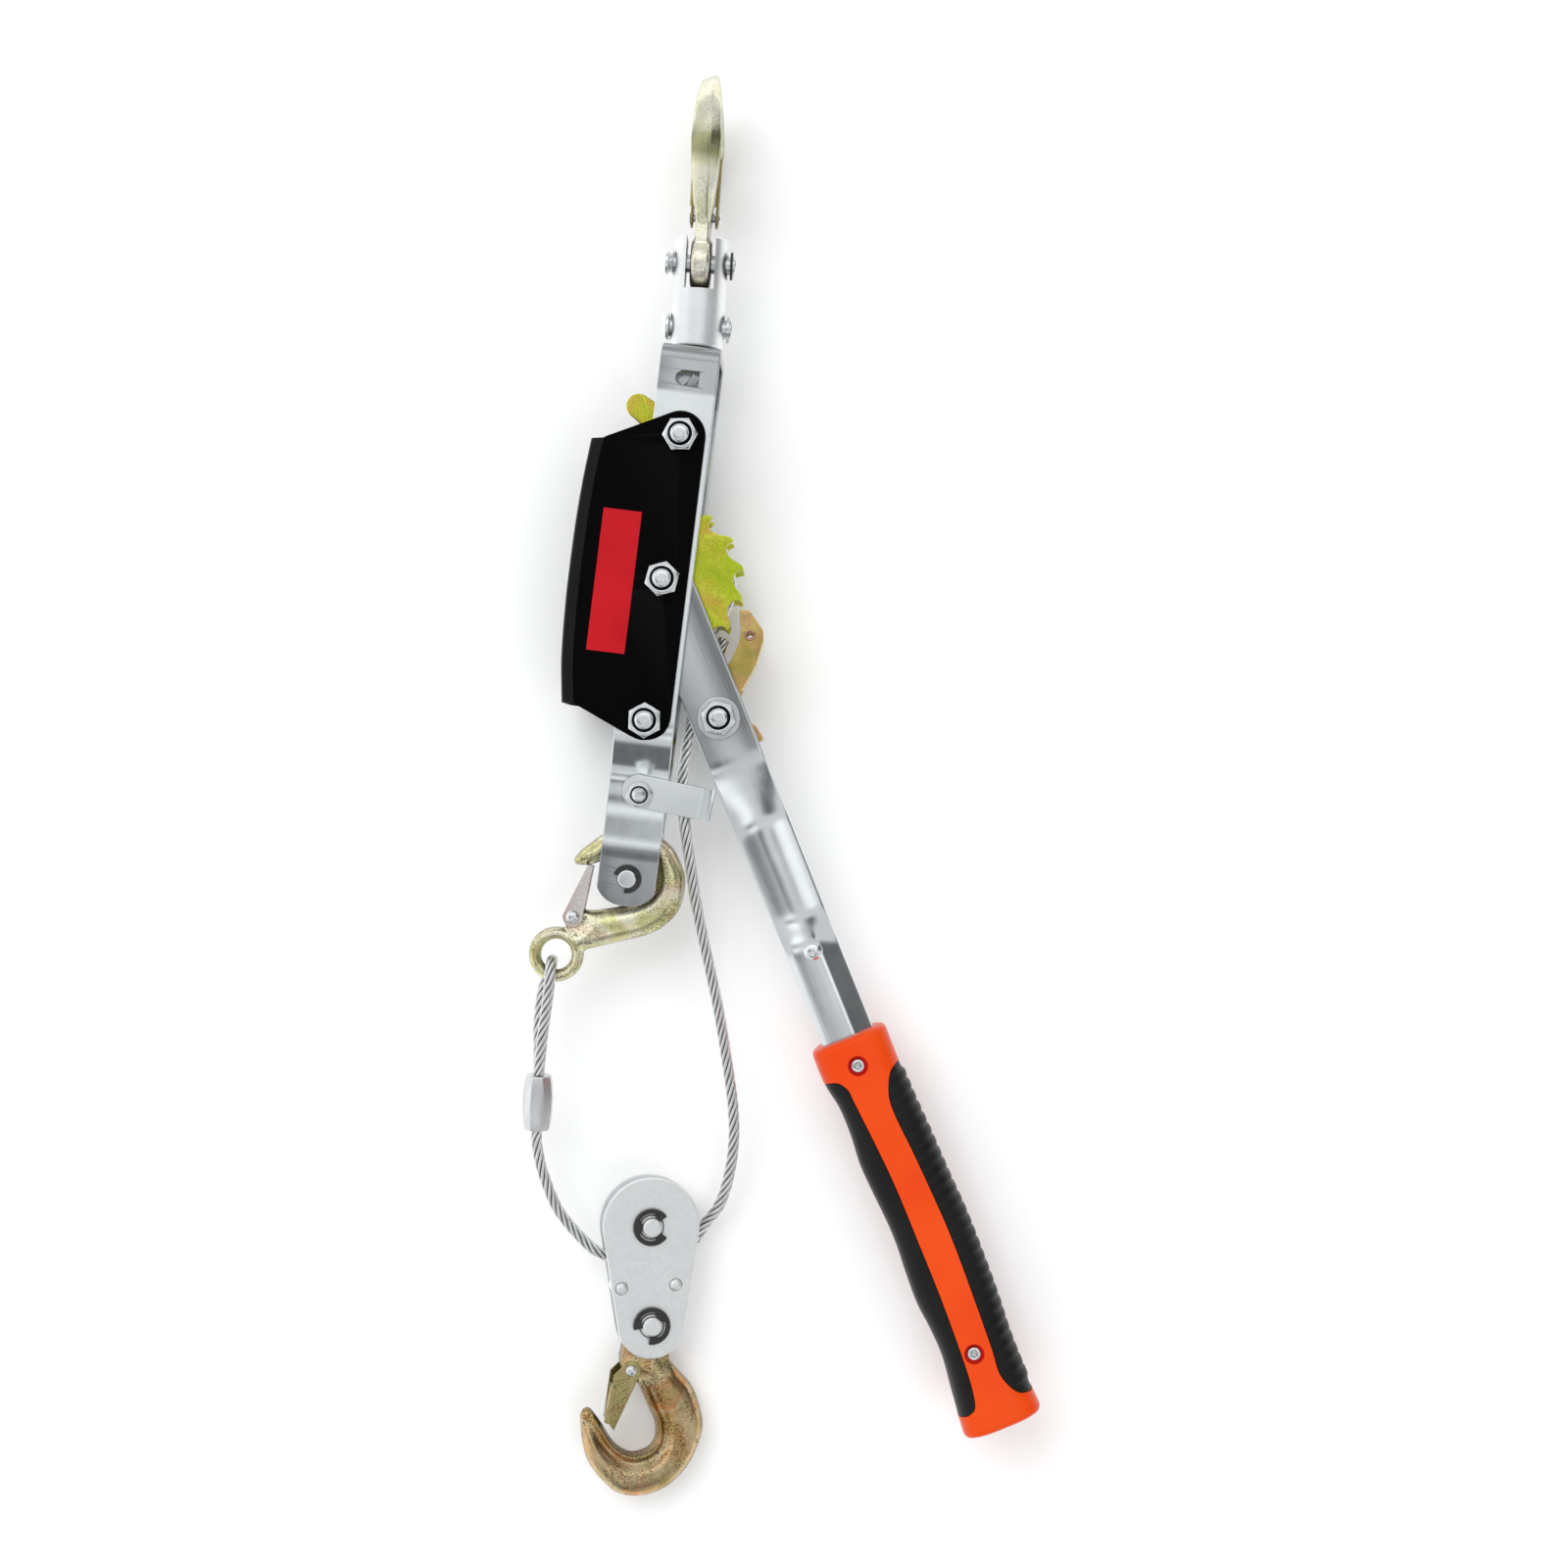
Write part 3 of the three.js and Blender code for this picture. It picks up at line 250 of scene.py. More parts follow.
def yellow_zinc(name, kind="forged", band=None):
    """Chromated zinc. Gold runs into green and pink in wide soft clouds, with a sandy grain; a forging is pitted in patches."""
    n = Net(name)
    cloud = n.noise(30, None, 3, 0.5, 0.8)
    tint = n.noise(70, n.mapping((1.0, 0.8, 1.4), (0.5, 0.2, 0.9)), 4, 0.6, 0.6)
    grain = n.noise(1200, None, 3, 0.7)
    sand = n.noise(520, None, 3, 0.62)
    worn = n.noise(95, n.mapping((1.0, 1.0, 1.0), (0.1, 0.7, 0.3)), 5, 0.68, 0.4)
    ends = {
        "forged": ((0.50, 0.35, 0.14), (0.72, 0.57, 0.34), (0.70, 0.30, 0.11), (0.27, 0.25, 0.07)),
        "cream": ((0.95, 0.93, 0.72), (0.98, 0.97, 0.86), (0.91, 0.82, 0.68), (0.74, 0.75, 0.40)),
        "dark": ((0.40, 0.33, 0.11), (0.62, 0.54, 0.26), (0.56, 0.34, 0.20), (0.26, 0.27, 0.07)),
        "green": ((0.88, 0.83, 0.42), (0.98, 0.96, 0.74), (0.86, 0.66, 0.48), (0.48, 0.52, 0.10)),
        "wheel": ((0.50, 0.62, 0.02), (0.66, 0.72, 0.06), (0.72, 0.42, 0.08), (0.36, 0.52, 0.01)),
        "pawl": ((0.58, 0.41, 0.11), (0.74, 0.56, 0.19), (0.66, 0.33, 0.22), (0.34, 0.30, 0.06)),
        "latch": ((0.70, 0.64, 0.36), (0.84, 0.80, 0.55), (0.76, 0.55, 0.42), (0.52, 0.52, 0.20)),
        "blush": ((0.78, 0.66, 0.60), (0.86, 0.82, 0.78), (0.74, 0.52, 0.48), (0.62, 0.58, 0.50)),
    }[kind]
    a = n.ramp(n.span(cloud, 0, 1, 0.35, 0.65), [(0.0, ends[3]), (0.35, ends[0]), (0.6, ends[1]), (0.8, ends[2]), (1.0, ends[0])])
    b = n.ramp(n.span(tint, 0, 1, 0.3, 0.7), [(0.0, ends[0]), (0.35, ends[2]), (0.6, ends[1]), (0.85, ends[3]), (1.0, ends[0])])
    c = n.mix(0.35, a, b)
    pits = n.math("SUBTRACT", 1.0, n.span(grain, 0.0, 1.0, 0.40, 0.51))
    if kind in ("forged", "green", "dark", "cream"):
        where = n.span(worn, 0.08, 1.0, 0.42, 0.58)
        c = n.mix(n.math("MULTIPLY", n.math("MULTIPLY", pits, where), 0.45 if kind == "cream" else 0.9), c, [x * 0.12 for x in ends[0]])
        # Painted shade: the sharp edges of the forged kinds darkened.
        painted_edge_shade = (0.22, 0.19, 0.08) if kind == "cream" else (0.34, 0.33, 0.09)
        c = n.mix(n.math("MULTIPLY", n.edge(0.51, 0.58), 0.6), c, painted_edge_shade)
        rough = n.math("ADD", n.span(worn, 0.14, 0.26, 0.4, 0.65), n.math("MULTIPLY", pits, 0.12))
        bump = n.bump(grain, 0.00010, 0.7, n.bump(sand, 0.00016, 0.55))
    else:
        c = n.mix(n.math("MULTIPLY", pits, 0.40 if kind == "wheel" else 0.25), c, [x * 0.35 for x in ends[0]])
        # Painted highlight on the sharp edges.
        c = n.mix(n.math("MULTIPLY", n.edge(0.51, 0.58), 0.6), c, [min(1, x * 1.25 + 0.05) for x in ends[1]])
        rough = n.span(tint, 0.20, 0.32)
        bump = n.bump(grain, 0.00008, 0.8, n.bump(sand, 0.0001, 0.4))
    # Painted shade: the forged kinds darker on upright faces and where pieces meet; the others painted shade where
    # pieces meet.
    c = n.sides(n.painted_shade(c, 0.005, 0.35), {"forged": 0.28, "green": 0.24}.get(kind, 0.45)) if kind in ("forged", "green", "cream", "dark") else n.painted_shade(c, 0.003, 0.35)
    # Painted dark reflection: a dark olive band across the piece about a set height.
    if band:
        at = n.t.nodes.new("ShaderNodeSeparateXYZ")
        n.t.links.new(n.coord.outputs["Object"], at.inputs[0])
        off = n.math("ABSOLUTE", n.math("SUBTRACT", at.outputs[1], band[0]))
        c = n.mix(n.span(off, 0.75, 0.0, band[1] * 0.5, band[1] * 1.3), c, (0.20, 0.21, 0.06))
    return n.done(c, rough, 0.97, bump)


def galvanised(name):
    """Satin hot-dip sheet with a fine spangle."""
    n = Net(name)
    vec = n.mapping()
    flake = n.voronoi(620, vec)
    flake_v = n.t.nodes.new("ShaderNodeRGBToBW")
    n.t.links.new(flake, flake_v.inputs[0])
    cloud = n.noise(40, vec, 4, 0.55)
    fine = n.noise(1900, vec, 2, 0.7)
    c = n.mix(n.span(flake_v.outputs[0], 0, 1, 0.2, 0.8), (0.90, 0.91, 0.915), (0.97, 0.975, 0.98))
    c = n.mix(n.span(cloud, 0.0, 0.35, 0.35, 0.7), c, (0.90, 0.91, 0.91))
    # Painted highlight on the sharp edges; painted shade where pieces meet in the return below.
    c = n.mix(n.math("MULTIPLY", n.edge(), 0.5), c, (0.92, 0.93, 0.93))
    r = n.math("ADD", n.span(flake_v.outputs[0], 0.34, 0.46, 0.2, 0.8), n.span(fine, 0.0, 0.08))
    return n.done(n.painted_shade(c, 0.003, 0.3), r, 0.92, n.bump(fine, 0.00004, 0.6, n.bump(flake_v.outputs[0], 0.00003, 0.4)))


def black_gloss(name):
    n = Net(name)
    peel = n.noise(330, None, 2, 0.5)
    dust = n.noise(2200, None, 2, 0.6)
    wide = n.noise(18, None, 4, 0.5)
    # Painted highlight: sharp edges a little lighter.
    c = n.mix(n.math("MULTIPLY", n.edge(0.52, 0.60), 0.35), (0.0012, 0.0012, 0.0014), (0.012, 0.012, 0.013))
    c = n.mix(n.span(dust, 0.0, 0.04, 0.62, 0.75), c, (0.25, 0.25, 0.25))
    return n.done(c, n.span(wide, 0.20, 0.30), 0.0, n.bump(peel, 0.00006, 0.35), specular=0.03)


def black_steel(name):
    n = Net(name)
    fine = n.noise(900, None, 3, 0.6)
    # Painted highlight on the sharp edges.
    c = n.mix(n.math("MULTIPLY", n.edge(), 0.4), (0.008, 0.008, 0.009), (0.12, 0.12, 0.12))
    return n.done(c, n.span(fine, 0.28, 0.46), 0.35, n.bump(fine, 0.00004, 0.5))


def moulded(name, color, light, low=0.27, high=0.42, grain=900, depth=0.00004, spec=0.5):
    n = Net(name)
    cloud = n.noise(24, None, 4, 0.5)
    fine = n.noise(grain, None, 3, 0.6)
    c = n.mix(n.span(cloud, 0.0, 1.0, 0.3, 0.7), color, light)
    # Painted highlight on the sharp edges.
    c = n.mix(n.math("MULTIPLY", n.edge(0.52, 0.62), 0.3), c, [min(1, x * 1.5 + 0.01) for x in light])
    return n.done(c, n.span(cloud, low, high), 0.0, n.bump(fine, depth, 0.5), specular=spec)


def wire_rope(name):
    """Fine wires inside each strand and painted shade in the valleys between strands, drawn from the rope's own
    coordinates; grime lies in soft patches.
    """
    n = Net(name)
    uv = n.t.nodes.new("ShaderNodeSeparateXYZ")
    n.t.links.new(n.coord.outputs["UV"], uv.inputs[0])
    phase = n.math("ADD", n.math("MULTIPLY", uv.outputs[0], 5.0), n.math("MULTIPLY", uv.outputs[1], 130.0))
    wires = n.math("SINE", n.math("MULTIPLY", phase, 6.2832))
    inside = n.math("ABSOLUTE", n.math("SUBTRACT", n.math("FRACT", uv.outputs[0]), 0.5))
    valley = n.span(inside, 0.0, 1.0, 0.31, 0.47)
    grime = n.noise(160, None, 4, 0.6)
    c = n.mix(n.span(wires, 0.0, 0.6, -0.95, -0.3), (0.74, 0.74, 0.74), (0.97, 0.97, 0.96))
    c = n.mix(n.span(grime, 0.0, 0.2, 0.5, 0.75), c, (0.60, 0.59, 0.57))
    # Painted shade in the valleys between strands.
    c = n.mix(valley, c, (0.09, 0.09, 0.09))
    return n.done(c, n.span(grime, 0.24, 0.36), 0.95, n.bump(wires, 0.00003, 0.4))


def alloy(name):
    """Pressed aluminium with flat press marks along it."""
    n = Net(name)
    line = n.noise(260, n.mapping((1, 0.08, 1)), 3, 0.5)
    cloud = n.noise(60, None, 4, 0.6)
    c = n.mix(n.span(line, 0.0, 1.0, 0.35, 0.65), (0.66, 0.665, 0.67), (0.86, 0.865, 0.87))
    # Painted shade where pieces meet.
    return n.done(n.painted_shade(c, 0.004, 0.4), n.span(cloud, 0.26, 0.38), 0.95, n.bump(line, 0.0002, 0.4))


def label_red(name):
    n = Net(name)
    fine = n.noise(1400, None, 2, 0.6)
    wide = n.noise(60, None, 3, 0.5)
    c = n.mix(n.span(wide, 0, 1, 0.3, 0.7), (0.46, 0.002, 0.008), (0.53, 0.005, 0.013))
    return n.done(c, n.span(wide, 0.34, 0.46), 0.0, n.bump(fine, 0.00002, 0.4), specular=0.2)


# The strap's top bend and lower end, and the lever's upper arm, carry painted dark reflection stretches.
M_STRAP = zinc_bar("zinc_strap", low=0.13, high=0.20, painted_dark_bands=((0.0785, 0.0802, 0.22), (-0.1115, -0.1145, 0.26)))
M_LEVER = zinc_bar("zinc_lever", 29.1, (0.86, 0.89, 0.90), 0.12, 0.19, ((-0.090, -0.068, 0.62),))
M_ZINC = zinc_part("zinc_part", (0.84, 0.87, 0.88))
M_WASHER = zinc_part("zinc_washer", (0.60, 0.64, 0.66), 0.16, 0.26)
M_GUIDE = zinc_bar("zinc_guide", -4.6, (0.86, 0.91, 0.92), 0.14, 0.24)
M_NUT = zinc_part("zinc_nut", (0.90, 0.92, 0.93), 0.10, 0.20)
M_HEAD = zinc_part("zinc_head", (0.97, 0.98, 0.985), 0.36, 0.48, 600)
M_FORGED = yellow_zinc("zinc_forged", "forged")
M_GREEN = yellow_zinc("zinc_forged_green", "green")
M_YELLOW = yellow_zinc("zinc_wheel", "wheel")
M_PAWL = yellow_zinc("zinc_pawl", "pawl")
M_LATCH = yellow_zinc("zinc_latch", "latch")
M_BLUSH = yellow_zinc("zinc_blush", "blush")
M_DARK = yellow_zinc("zinc_latch_dark", "dark")
# A band about y = 0.1848 m darkens the top hook, a painted dark reflection.
M_CREAM = yellow_zinc("zinc_forged_cream", "cream", (0.1848, 0.0068))
M_COPPER = zinc_part("eyelet_copper", (0.60, 0.27, 0.11), 0.12, 0.22)
M_GALV = galvanised("galvanised_sheet")
M_COVER = black_gloss("guard_black")
M_CLIP = black_steel("clip_black")
M_ORANGE = moulded("grip_orange", (0.78, 0.052, 0.002), (0.84, 0.078, 0.004), 0.26, 0.36, spec=0.2)
# Darker red for the screw-hole floors: painted shade.
M_HOLE_PAINTED_SHADE = moulded("grip_hole_painted_shade", (0.50, 0.006, 0.006), (0.58, 0.010, 0.008), 0.4, 0.5, spec=0.1)
M_PAD = moulded("pad_rubber", (0.0035, 0.0035, 0.0035), (0.007, 0.007, 0.007), 0.40, 0.52, 1500, 0.00006, 0.26)
M_WIRE = wire_rope("rope_wire")
M_ALLOY = alloy("ferrule_alloy")
M_LABEL = label_red("label_red")
M_NYLON = moulded("nut_nylon", (0.001, 0.003, 0.007), (0.003, 0.006, 0.014), 0.35, 0.5, spec=0.15)

# ------------------------------------------------------------ places, in millimetres
T = Matrix.Translation
RZ = lambda d: Matrix.Rotation(rad(d), 4, "Z")
RY = lambda d: Matrix.Rotation(rad(d), 4, "Y")
AMID = T((0, 0, MID))
ALEVER = AMID @ RZ(29.1)
AHEAD = AMID @ T((0.8, 99.8, 0)) @ RZ(3.75)
AUP = AHEAD @ T((0, 38.1, 0)) @ Matrix(((0, 0, 1, 0), (0, -1, 0, 0), (1, 0, 0, 0), (0, 0, 0, 1)))
ABLOCK = AMID @ T((26.4, -276.2, 13 - MID)) @ RZ(7.1) @ RY(11)
AHANG = ABLOCK @ T((0, -42.7, 0))
TURN_X = Matrix(((0, 0, 1, 0), (0, 1, 0, 0), (-1, 0, 0, 0), (0, 0, 0, 1)))  # w axis onto +x


# ------------------------------------------------------------ meshes
def finish_mesh(name, mesh, body, mat, replaces=(), sharp=38, weighted=True):
    for p in mesh.polygons:
        p.use_smooth = True
    if sharp:
        mesh.set_sharp_from_angle(angle=rad(sharp))
    mesh.materials.clear()
    mesh.materials.append(mat)
    o = bpy.data.objects.new(name, mesh)
    bpy.context.scene.collection.objects.link(o)
    if weighted:
        m = o.modifiers.new("normals", "WEIGHTED_NORMAL")
        m.keep_sharp = True
        m.mode = "FACE_AREA"
    if body:
        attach(o, body)
    if replaces:
        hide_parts(*replaces)
    return o


def raw(verts, faces, place):
    """Vertices in millimetres and faces, as a mesh in metres in the row frame."""
    mesh = bpy.data.meshes.new("m")
    k = Matrix.Scale(MM, 4) @ place
    mesh.from_pydata([tuple(k @ Vector(v)) for v in verts], [], faces)
    bm = bmesh.new()
    bm.from_mesh(mesh)
    bmesh.ops.remove_doubles(bm, verts=bm.verts, dist=1e-7)
    bmesh.ops.recalc_face_normals(bm, faces=bm.faces)
    bm.to_mesh(mesh)
    bm.free()
    return mesh


def merge(*parts):
    """Lists of (verts, faces) as one."""
    V, F = [], []
    for v, f in parts:
        F += [tuple(i + len(V) for i in q) for q in f]
        V += [tuple(p) for p in v]
    return V, F


def moved(part, m):
    return [tuple(m @ Vector(p)) for p in part[0]], part[1]


def area(p):
    return 0.5 * sum(p[i][0] * p[(i + 1) % len(p)][1] - p[(i + 1) % len(p)][0] * p[i][1] for i in range(len(p)))


def inset(loop, d):
    """Moves a loop to its left by d, with limited mitres."""
    out, n = [], len(loop)
    for i in range(n):
        a, b, c = Vector(loop[i - 1]), Vector(loop[i]), Vector(loop[(i + 1) % n])
        u, v = (b - a).normalized(), (c - b).normalized()
        n1, n2 = Vector((-u.y, u.x)), Vector((-v.y, v.x))
        m = n1 + n2
        k = max(0.35, 1 + n1.dot(n2))
        out.append(tuple(b + m * (d / k)))
    return out


def slab(loops, w0, w1, b=0.35, seg=3):
    """Plate with rounded edges. The first loop is the outline, the rest are holes."""
    fixed = []
    for k, l in enumerate(loops):
        l = [tuple(p) for p in l]
        if (area(l) > 0) != (k == 0):
            l = l[::-1]
        fixed.append(l)
    V, F, caps = [], [], {0: [], 1: []}
    for l in fixed:
        n, rings = len(l), []
        steps = [(1 - math.sin(rad(90 * i / seg)), 1 - math.cos(rad(90 * i / seg))) for i in range(seg + 1)] if b else [(0, 0)]
        for s, w in [(s * b, w0 + h * b) for s, h in steps] + [(s * b, w1 - h * b) for s, h in reversed(steps)]:
            rings.append(len(V))
            V += [(x, y, w) for x, y in (inset(l, s) if s else l)]
        for a, c in zip(rings, rings[1:]):
            F += [(a + i, a + (i + 1) % n, c + (i + 1) % n, c + i) for i in range(n)]
        caps[0].append((rings[0], n))
        caps[1].append((rings[-1], n))
    for side in (0, 1):
        index, polys = [], []
        for start, n in caps[side]:
            polys.append([Vector((V[start + i][0], V[start + i][1], 0)) for i in range(n)])
            index += [start + i for i in range(n)]
        for t in tessellate_polygon(polys):
            F.append(tuple(index[i] for i in (t if side else t[::-1])))
    return V, F


def turn(profile, n=48, closed=False):
    """Lathe about w; profile of (radius, height)."""
    V, F, k = [], [], len(profile)
    for r, h in profile:
        V += [(r * math.cos(2 * math.pi * i / n), r * math.sin(2 * math.pi * i / n), h) for i in range(n)]
    for a in range(k if closed else k - 1):
        p, q = a * n, ((a + 1) % k) * n
        F += [(p + i, p + (i + 1) % n, q + (i + 1) % n, q + i) for i in range(n)]
    return V, F


def soften(profile, r=0.4, seg=3):
    """Rounds the corners of an open profile."""
    out = [profile[0]]
    for a, b, c in zip(profile, profile[1:], profile[2:]):
        A, B, C = Vector(a), Vector(b), Vector(c)
        d = min(r, (A - B).length * 0.45, (C - B).length * 0.45)
        p, q = B + (A - B).normalized() * d, B + (C - B).normalized() * d
        for i in range(seg + 1):
            t = i / seg
            out.append(tuple((1 - t) ** 2 * p + 2 * t * (1 - t) * B + t * t * q))
    return out + [profile[-1]]


def arc(x, y, r, a0, a1, n):
    return [(x + r * math.cos(rad(a0 + (a1 - a0) * i / n)), y + r * math.sin(rad(a0 + (a1 - a0) * i / n))) for i in range(n + 1)]


def circle(x, y, r, n=48):
    return [(x + r * math.cos(2 * math.pi * i / n), y + r * math.sin(2 * math.pi * i / n)) for i in range(n)]


def hull2(x1, y1, r1, x2, y2, r2, n=40):
    d, u = math.hypot(x2 - x1, y2 - y1), math.atan2(y2 - y1, x2 - x1)
    k = math.degrees(math.acos((r1 - r2) / d))
    u = math.degrees(u)
    return arc(x1, y1, r1, u + k, u - k + 360, n) + arc(x2, y2, r2, u - k, u + k, n)


def catmull(points, n=16, closed=False):
    """Centripetal Catmull-Rom through the points."""
    P = [np.array(p, float) for p in points]
    if closed:
        P = [P[-1], *P, P[0], P[1]]
    else:
        P = [2 * P[0] - P[1], *P, 2 * P[-1] - P[-2]]
    out = []
    for p0, p1, p2, p3 in zip(P, P[1:], P[2:], P[3:]):
        d = [max(1e-4, np.linalg.norm(b - a) ** 0.5) for a, b in ((p0, p1), (p1, p2), (p2, p3))]
        t1 = ((p1 - p0) / d[0] - (p2 - p0) / (d[0] + d[1]) + (p2 - p1) / d[1]) * d[1]
        t2 = ((p2 - p1) / d[1] - (p3 - p1) / (d[1] + d[2]) + (p3 - p2) / d[2]) * d[1]
        for i in range(n):
            t = i / n
            out.append(p1 + t1 * t + (-3 * p1 + 3 * p2 - 2 * t1 - t2) * t * t + (2 * p1 - 2 * p2 + t1 + t2) * t ** 3)
    if not closed:
        out.append(P[-2])
    return out


def resample(pts, step):
    P = np.array(pts, float)
    s = np.concatenate([[0], np.cumsum(np.linalg.norm(np.diff(P, axis=0), axis=1))])
    n = max(2, int(round(s[-1] / step)))
    t = np.linspace(0, s[-1], n + 1)
    return np.stack([np.interp(t, s, P[:, i]) for i in range(3)], 1), t


def frames(P):
    tan = np.gradient(P, axis=0)
    tan /= np.linalg.norm(tan, axis=1)[:, None]
    n = np.cross(tan[0], [0.3, 0.2, 0.93])
    n /= np.linalg.norm(n)
    N = [n]
    for t in tan[1:]:
        n = N[-1] - t * np.dot(t, N[-1])
        N.append(n / np.linalg.norm(n))
    N = np.array(N)
    return tan, N, np.cross(tan, N)


def evaluated(o):
    bpy.context.view_layer.update()
    m = bpy.data.meshes.new_from_object(o.evaluated_get(bpy.context.evaluated_depsgraph_get()))
    return m


def scratch(mesh, mods):
    """A mesh after modifiers, each a (type, settings) pair."""
    o = bpy.data.objects.new("scratch", mesh)
    bpy.context.scene.collection.objects.link(o)
    for kind, settings in mods:
        m = o.modifiers.new("m", kind)
        for k, v in settings.items():
            setattr(m, k, v)
    out = evaluated(o)
    bpy.data.objects.remove(o)
    return out


def to_part(mesh):
    return [tuple(v.co) for v in mesh.vertices], [tuple(p.vertices) for p in mesh.polygons]


def local_mesh(part):
    m = bpy.data.meshes.new("p")
    m.from_pydata([tuple(v) for v in part[0]], [], part[1])
    bm = bmesh.new()
    bm.from_mesh(m)
    bmesh.ops.remove_doubles(bm, verts=bm.verts, dist=1e-5)
    bmesh.ops.recalc_face_normals(bm, faces=bm.faces)
    bm.to_mesh(m)
    bm.free()
    return m


def boolean(mesh, cutter, op="DIFFERENCE"):
    c = bpy.data.objects.new("cutter", cutter)
    bpy.context.scene.collection.objects.link(c)
    out = scratch(mesh, [("BOOLEAN", {"operation": op, "solver": "EXACT", "object": c})])
    bpy.data.objects.remove(c)
    return out


def refine(node, mat, slot_name, bevel=0.35, seg=2, angle=26, name=None):
    """The CAD node's own solid with its edges rounded."""
    src = frame["nodes"][node]
    bm = bmesh.new()
    bm.from_mesh(src.data)
    bmesh.ops.remove_doubles(bm, verts=bm.verts, dist=2e-6)
    bmesh.ops.dissolve_limit(bm, angle_limit=rad(0.4), verts=bm.verts, edges=bm.edges)
    edges = [e for e in bm.edges if e.is_manifold and e.calc_face_angle(0) > rad(angle)]
    bmesh.ops.bevel(bm, geom=edges, offset=bevel * MM, offset_type="OFFSET", segments=seg, profile=0.5, clamp_overlap=True, affect="EDGES")
    mesh = bpy.data.meshes.new(node)
    bm.to_mesh(mesh)
    bm.free()
    return finish_mesh(name or node + "_fine", mesh, src["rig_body"], mat, (node,))


# ------------------------------------------------------------ steel cable
def on_block(x, y):
    return tuple(ABLOCK @ Vector((x, y, 0)))


RUN = [
    (28.3, -20.4, 40), (24, -36.7, 40), (18.9, -58.5, 40.3), (17.9, -77.7, 40.5), (19.2, -90.3, 40.4), (21.2, -100, 39.8), (25.6, -117.2, 37.8),
    (31.3, -137.9, 34.6), (38.3, -158.4, 31), (44.6, -177, 27.6), (51, -199, 23.4), (56.5, -220.7, 19), (58.6, -235.6, 16), (58.4, -251, 12.9),
    (55.9, -264.5, 10.7), on_block(24.6, -1), on_block(19.4, -8.3), on_block(12, -13.4), on_block(4, -16.4), on_block(-4, -16.8), on_block(-13, -14.8),
    on_block(-22.9, -11), on_block(-30, -4.6), (-13.1, -273.4, 20.8), (-19.1, -263, 22.6), (-23.5, -252.8, 24), (-26, -243, 25), (-26.2, -239.8, 25.2),
]
LOOP = [
    (-28.1, -215.6, 30.4), (-28.1, -206, 31.6), (-28.2, -197, 33.4), (-27.8, -187, 35.6), (-27.6, -177, 38), (-27.8, -171.5, 39.3), (-28, -167, 36.9),
    (-28.1, -165.7, 32), (-28.4, -167, 27.1), (-29.2, -171.5, 24.7), (-30.8, -177, 25), (-31.4, -187, 25.1), (-30.8, -197, 25.1), (-29.6, -206, 25),
    (-28.3, -215.6, 24.9),
]
LAY = 27.5  # length in which a strand goes once round the rope


def rope(name, centre, step=0.8, per=8, r=2.45, start=0.0):
    """Six strands laid round each other, as one closed surface that follows the centre line."""
    P, s = resample(centre, step)
    tan, N, B = frames(P)
    rc, rs = r / 1.5, r / 3.0
    marks = [-30, -26.5, -19, -9.5, 0, 9.5, 19, 26.5] if per == 8 else [-30, -17, 0, 17]
    ang, radius, u = [], [], []
    for k in range(6):
        for m in marks:
            d = rad(m)
            ang.append(rad(60 * k) + d)
            radius.append(rc * math.cos(d) + math.sqrt(max(0.0, rs * rs - (rc * math.sin(d)) ** 2)) if abs(m) < 30 else rc * 0.80)
            u.append(k + (m + 30) / 60)
    ang, radius = np.array(ang), np.array(radius)
    n, V = len(ang), []
    for i in range(len(P)):
        a = ang + 2 * math.pi * (s[i] + start) / LAY
        V.append(P[i] + (radius * np.cos(a))[:, None] * N[i] + (radius * np.sin(a))[:, None] * B[i])
    V = np.concatenate(V)
    F, UV = [], []
    for i in range(len(P) - 1):
        for j in range(n):
            k = (j + 1) % n
            F.append((i * n + j, i * n + k, (i + 1) * n + k, (i + 1) * n + j))
            u0, u1 = u[j], (u[k] if k else 6.0)
            UV += [(u0, s[i] * MM), (u1, s[i] * MM), (u1, s[i + 1] * MM), (u0, s[i + 1] * MM)]
    F += [tuple(range(n))[::-1], tuple((len(P) - 1) * n + j for j in range(n))]
    UV += [(0.5, 0)] * (2 * n)
    mesh = bpy.data.meshes.new(name)
    mesh.from_pydata([tuple(v) for v in V * MM], [], F)
    layer = mesh.uv_layers.new(name="rope")
    layer.data.foreach_set("uv", np.array(UV, np.float32).reshape(-1))
    mesh.validate()
    mesh.update()
    return mesh, float(s[-1]) * MM, [tuple(p) for p in P * MM]


dense = np.array(catmull(RUN, 24))
length = np.concatenate([[0], np.cumsum(np.linalg.norm(np.diff(dense, axis=0), axis=1))])
under = int(np.argmin(np.linalg.norm(dense - np.array(on_block(0, -16.8)), axis=1)))
mesh, right_length, right_path = rope("rope_right", dense[: under + 1])
rope_right = finish_mesh("rope_right", mesh, None, M_WIRE, sharp=0, weighted=False)
mesh, left_length, left_path = rope("rope_left", dense[under:], start=right_length / MM)
rope_left = finish_mesh("rope_left", mesh, None, M_WIRE, sharp=0, weighted=False)
mesh, loop_length, loop_path = rope("rope_loop", catmull(LOOP, 20))
rope_loop = finish_mesh("rope_loop", mesh, "frame", M_WIRE, ("cable_loop",), sharp=0, weighted=False)

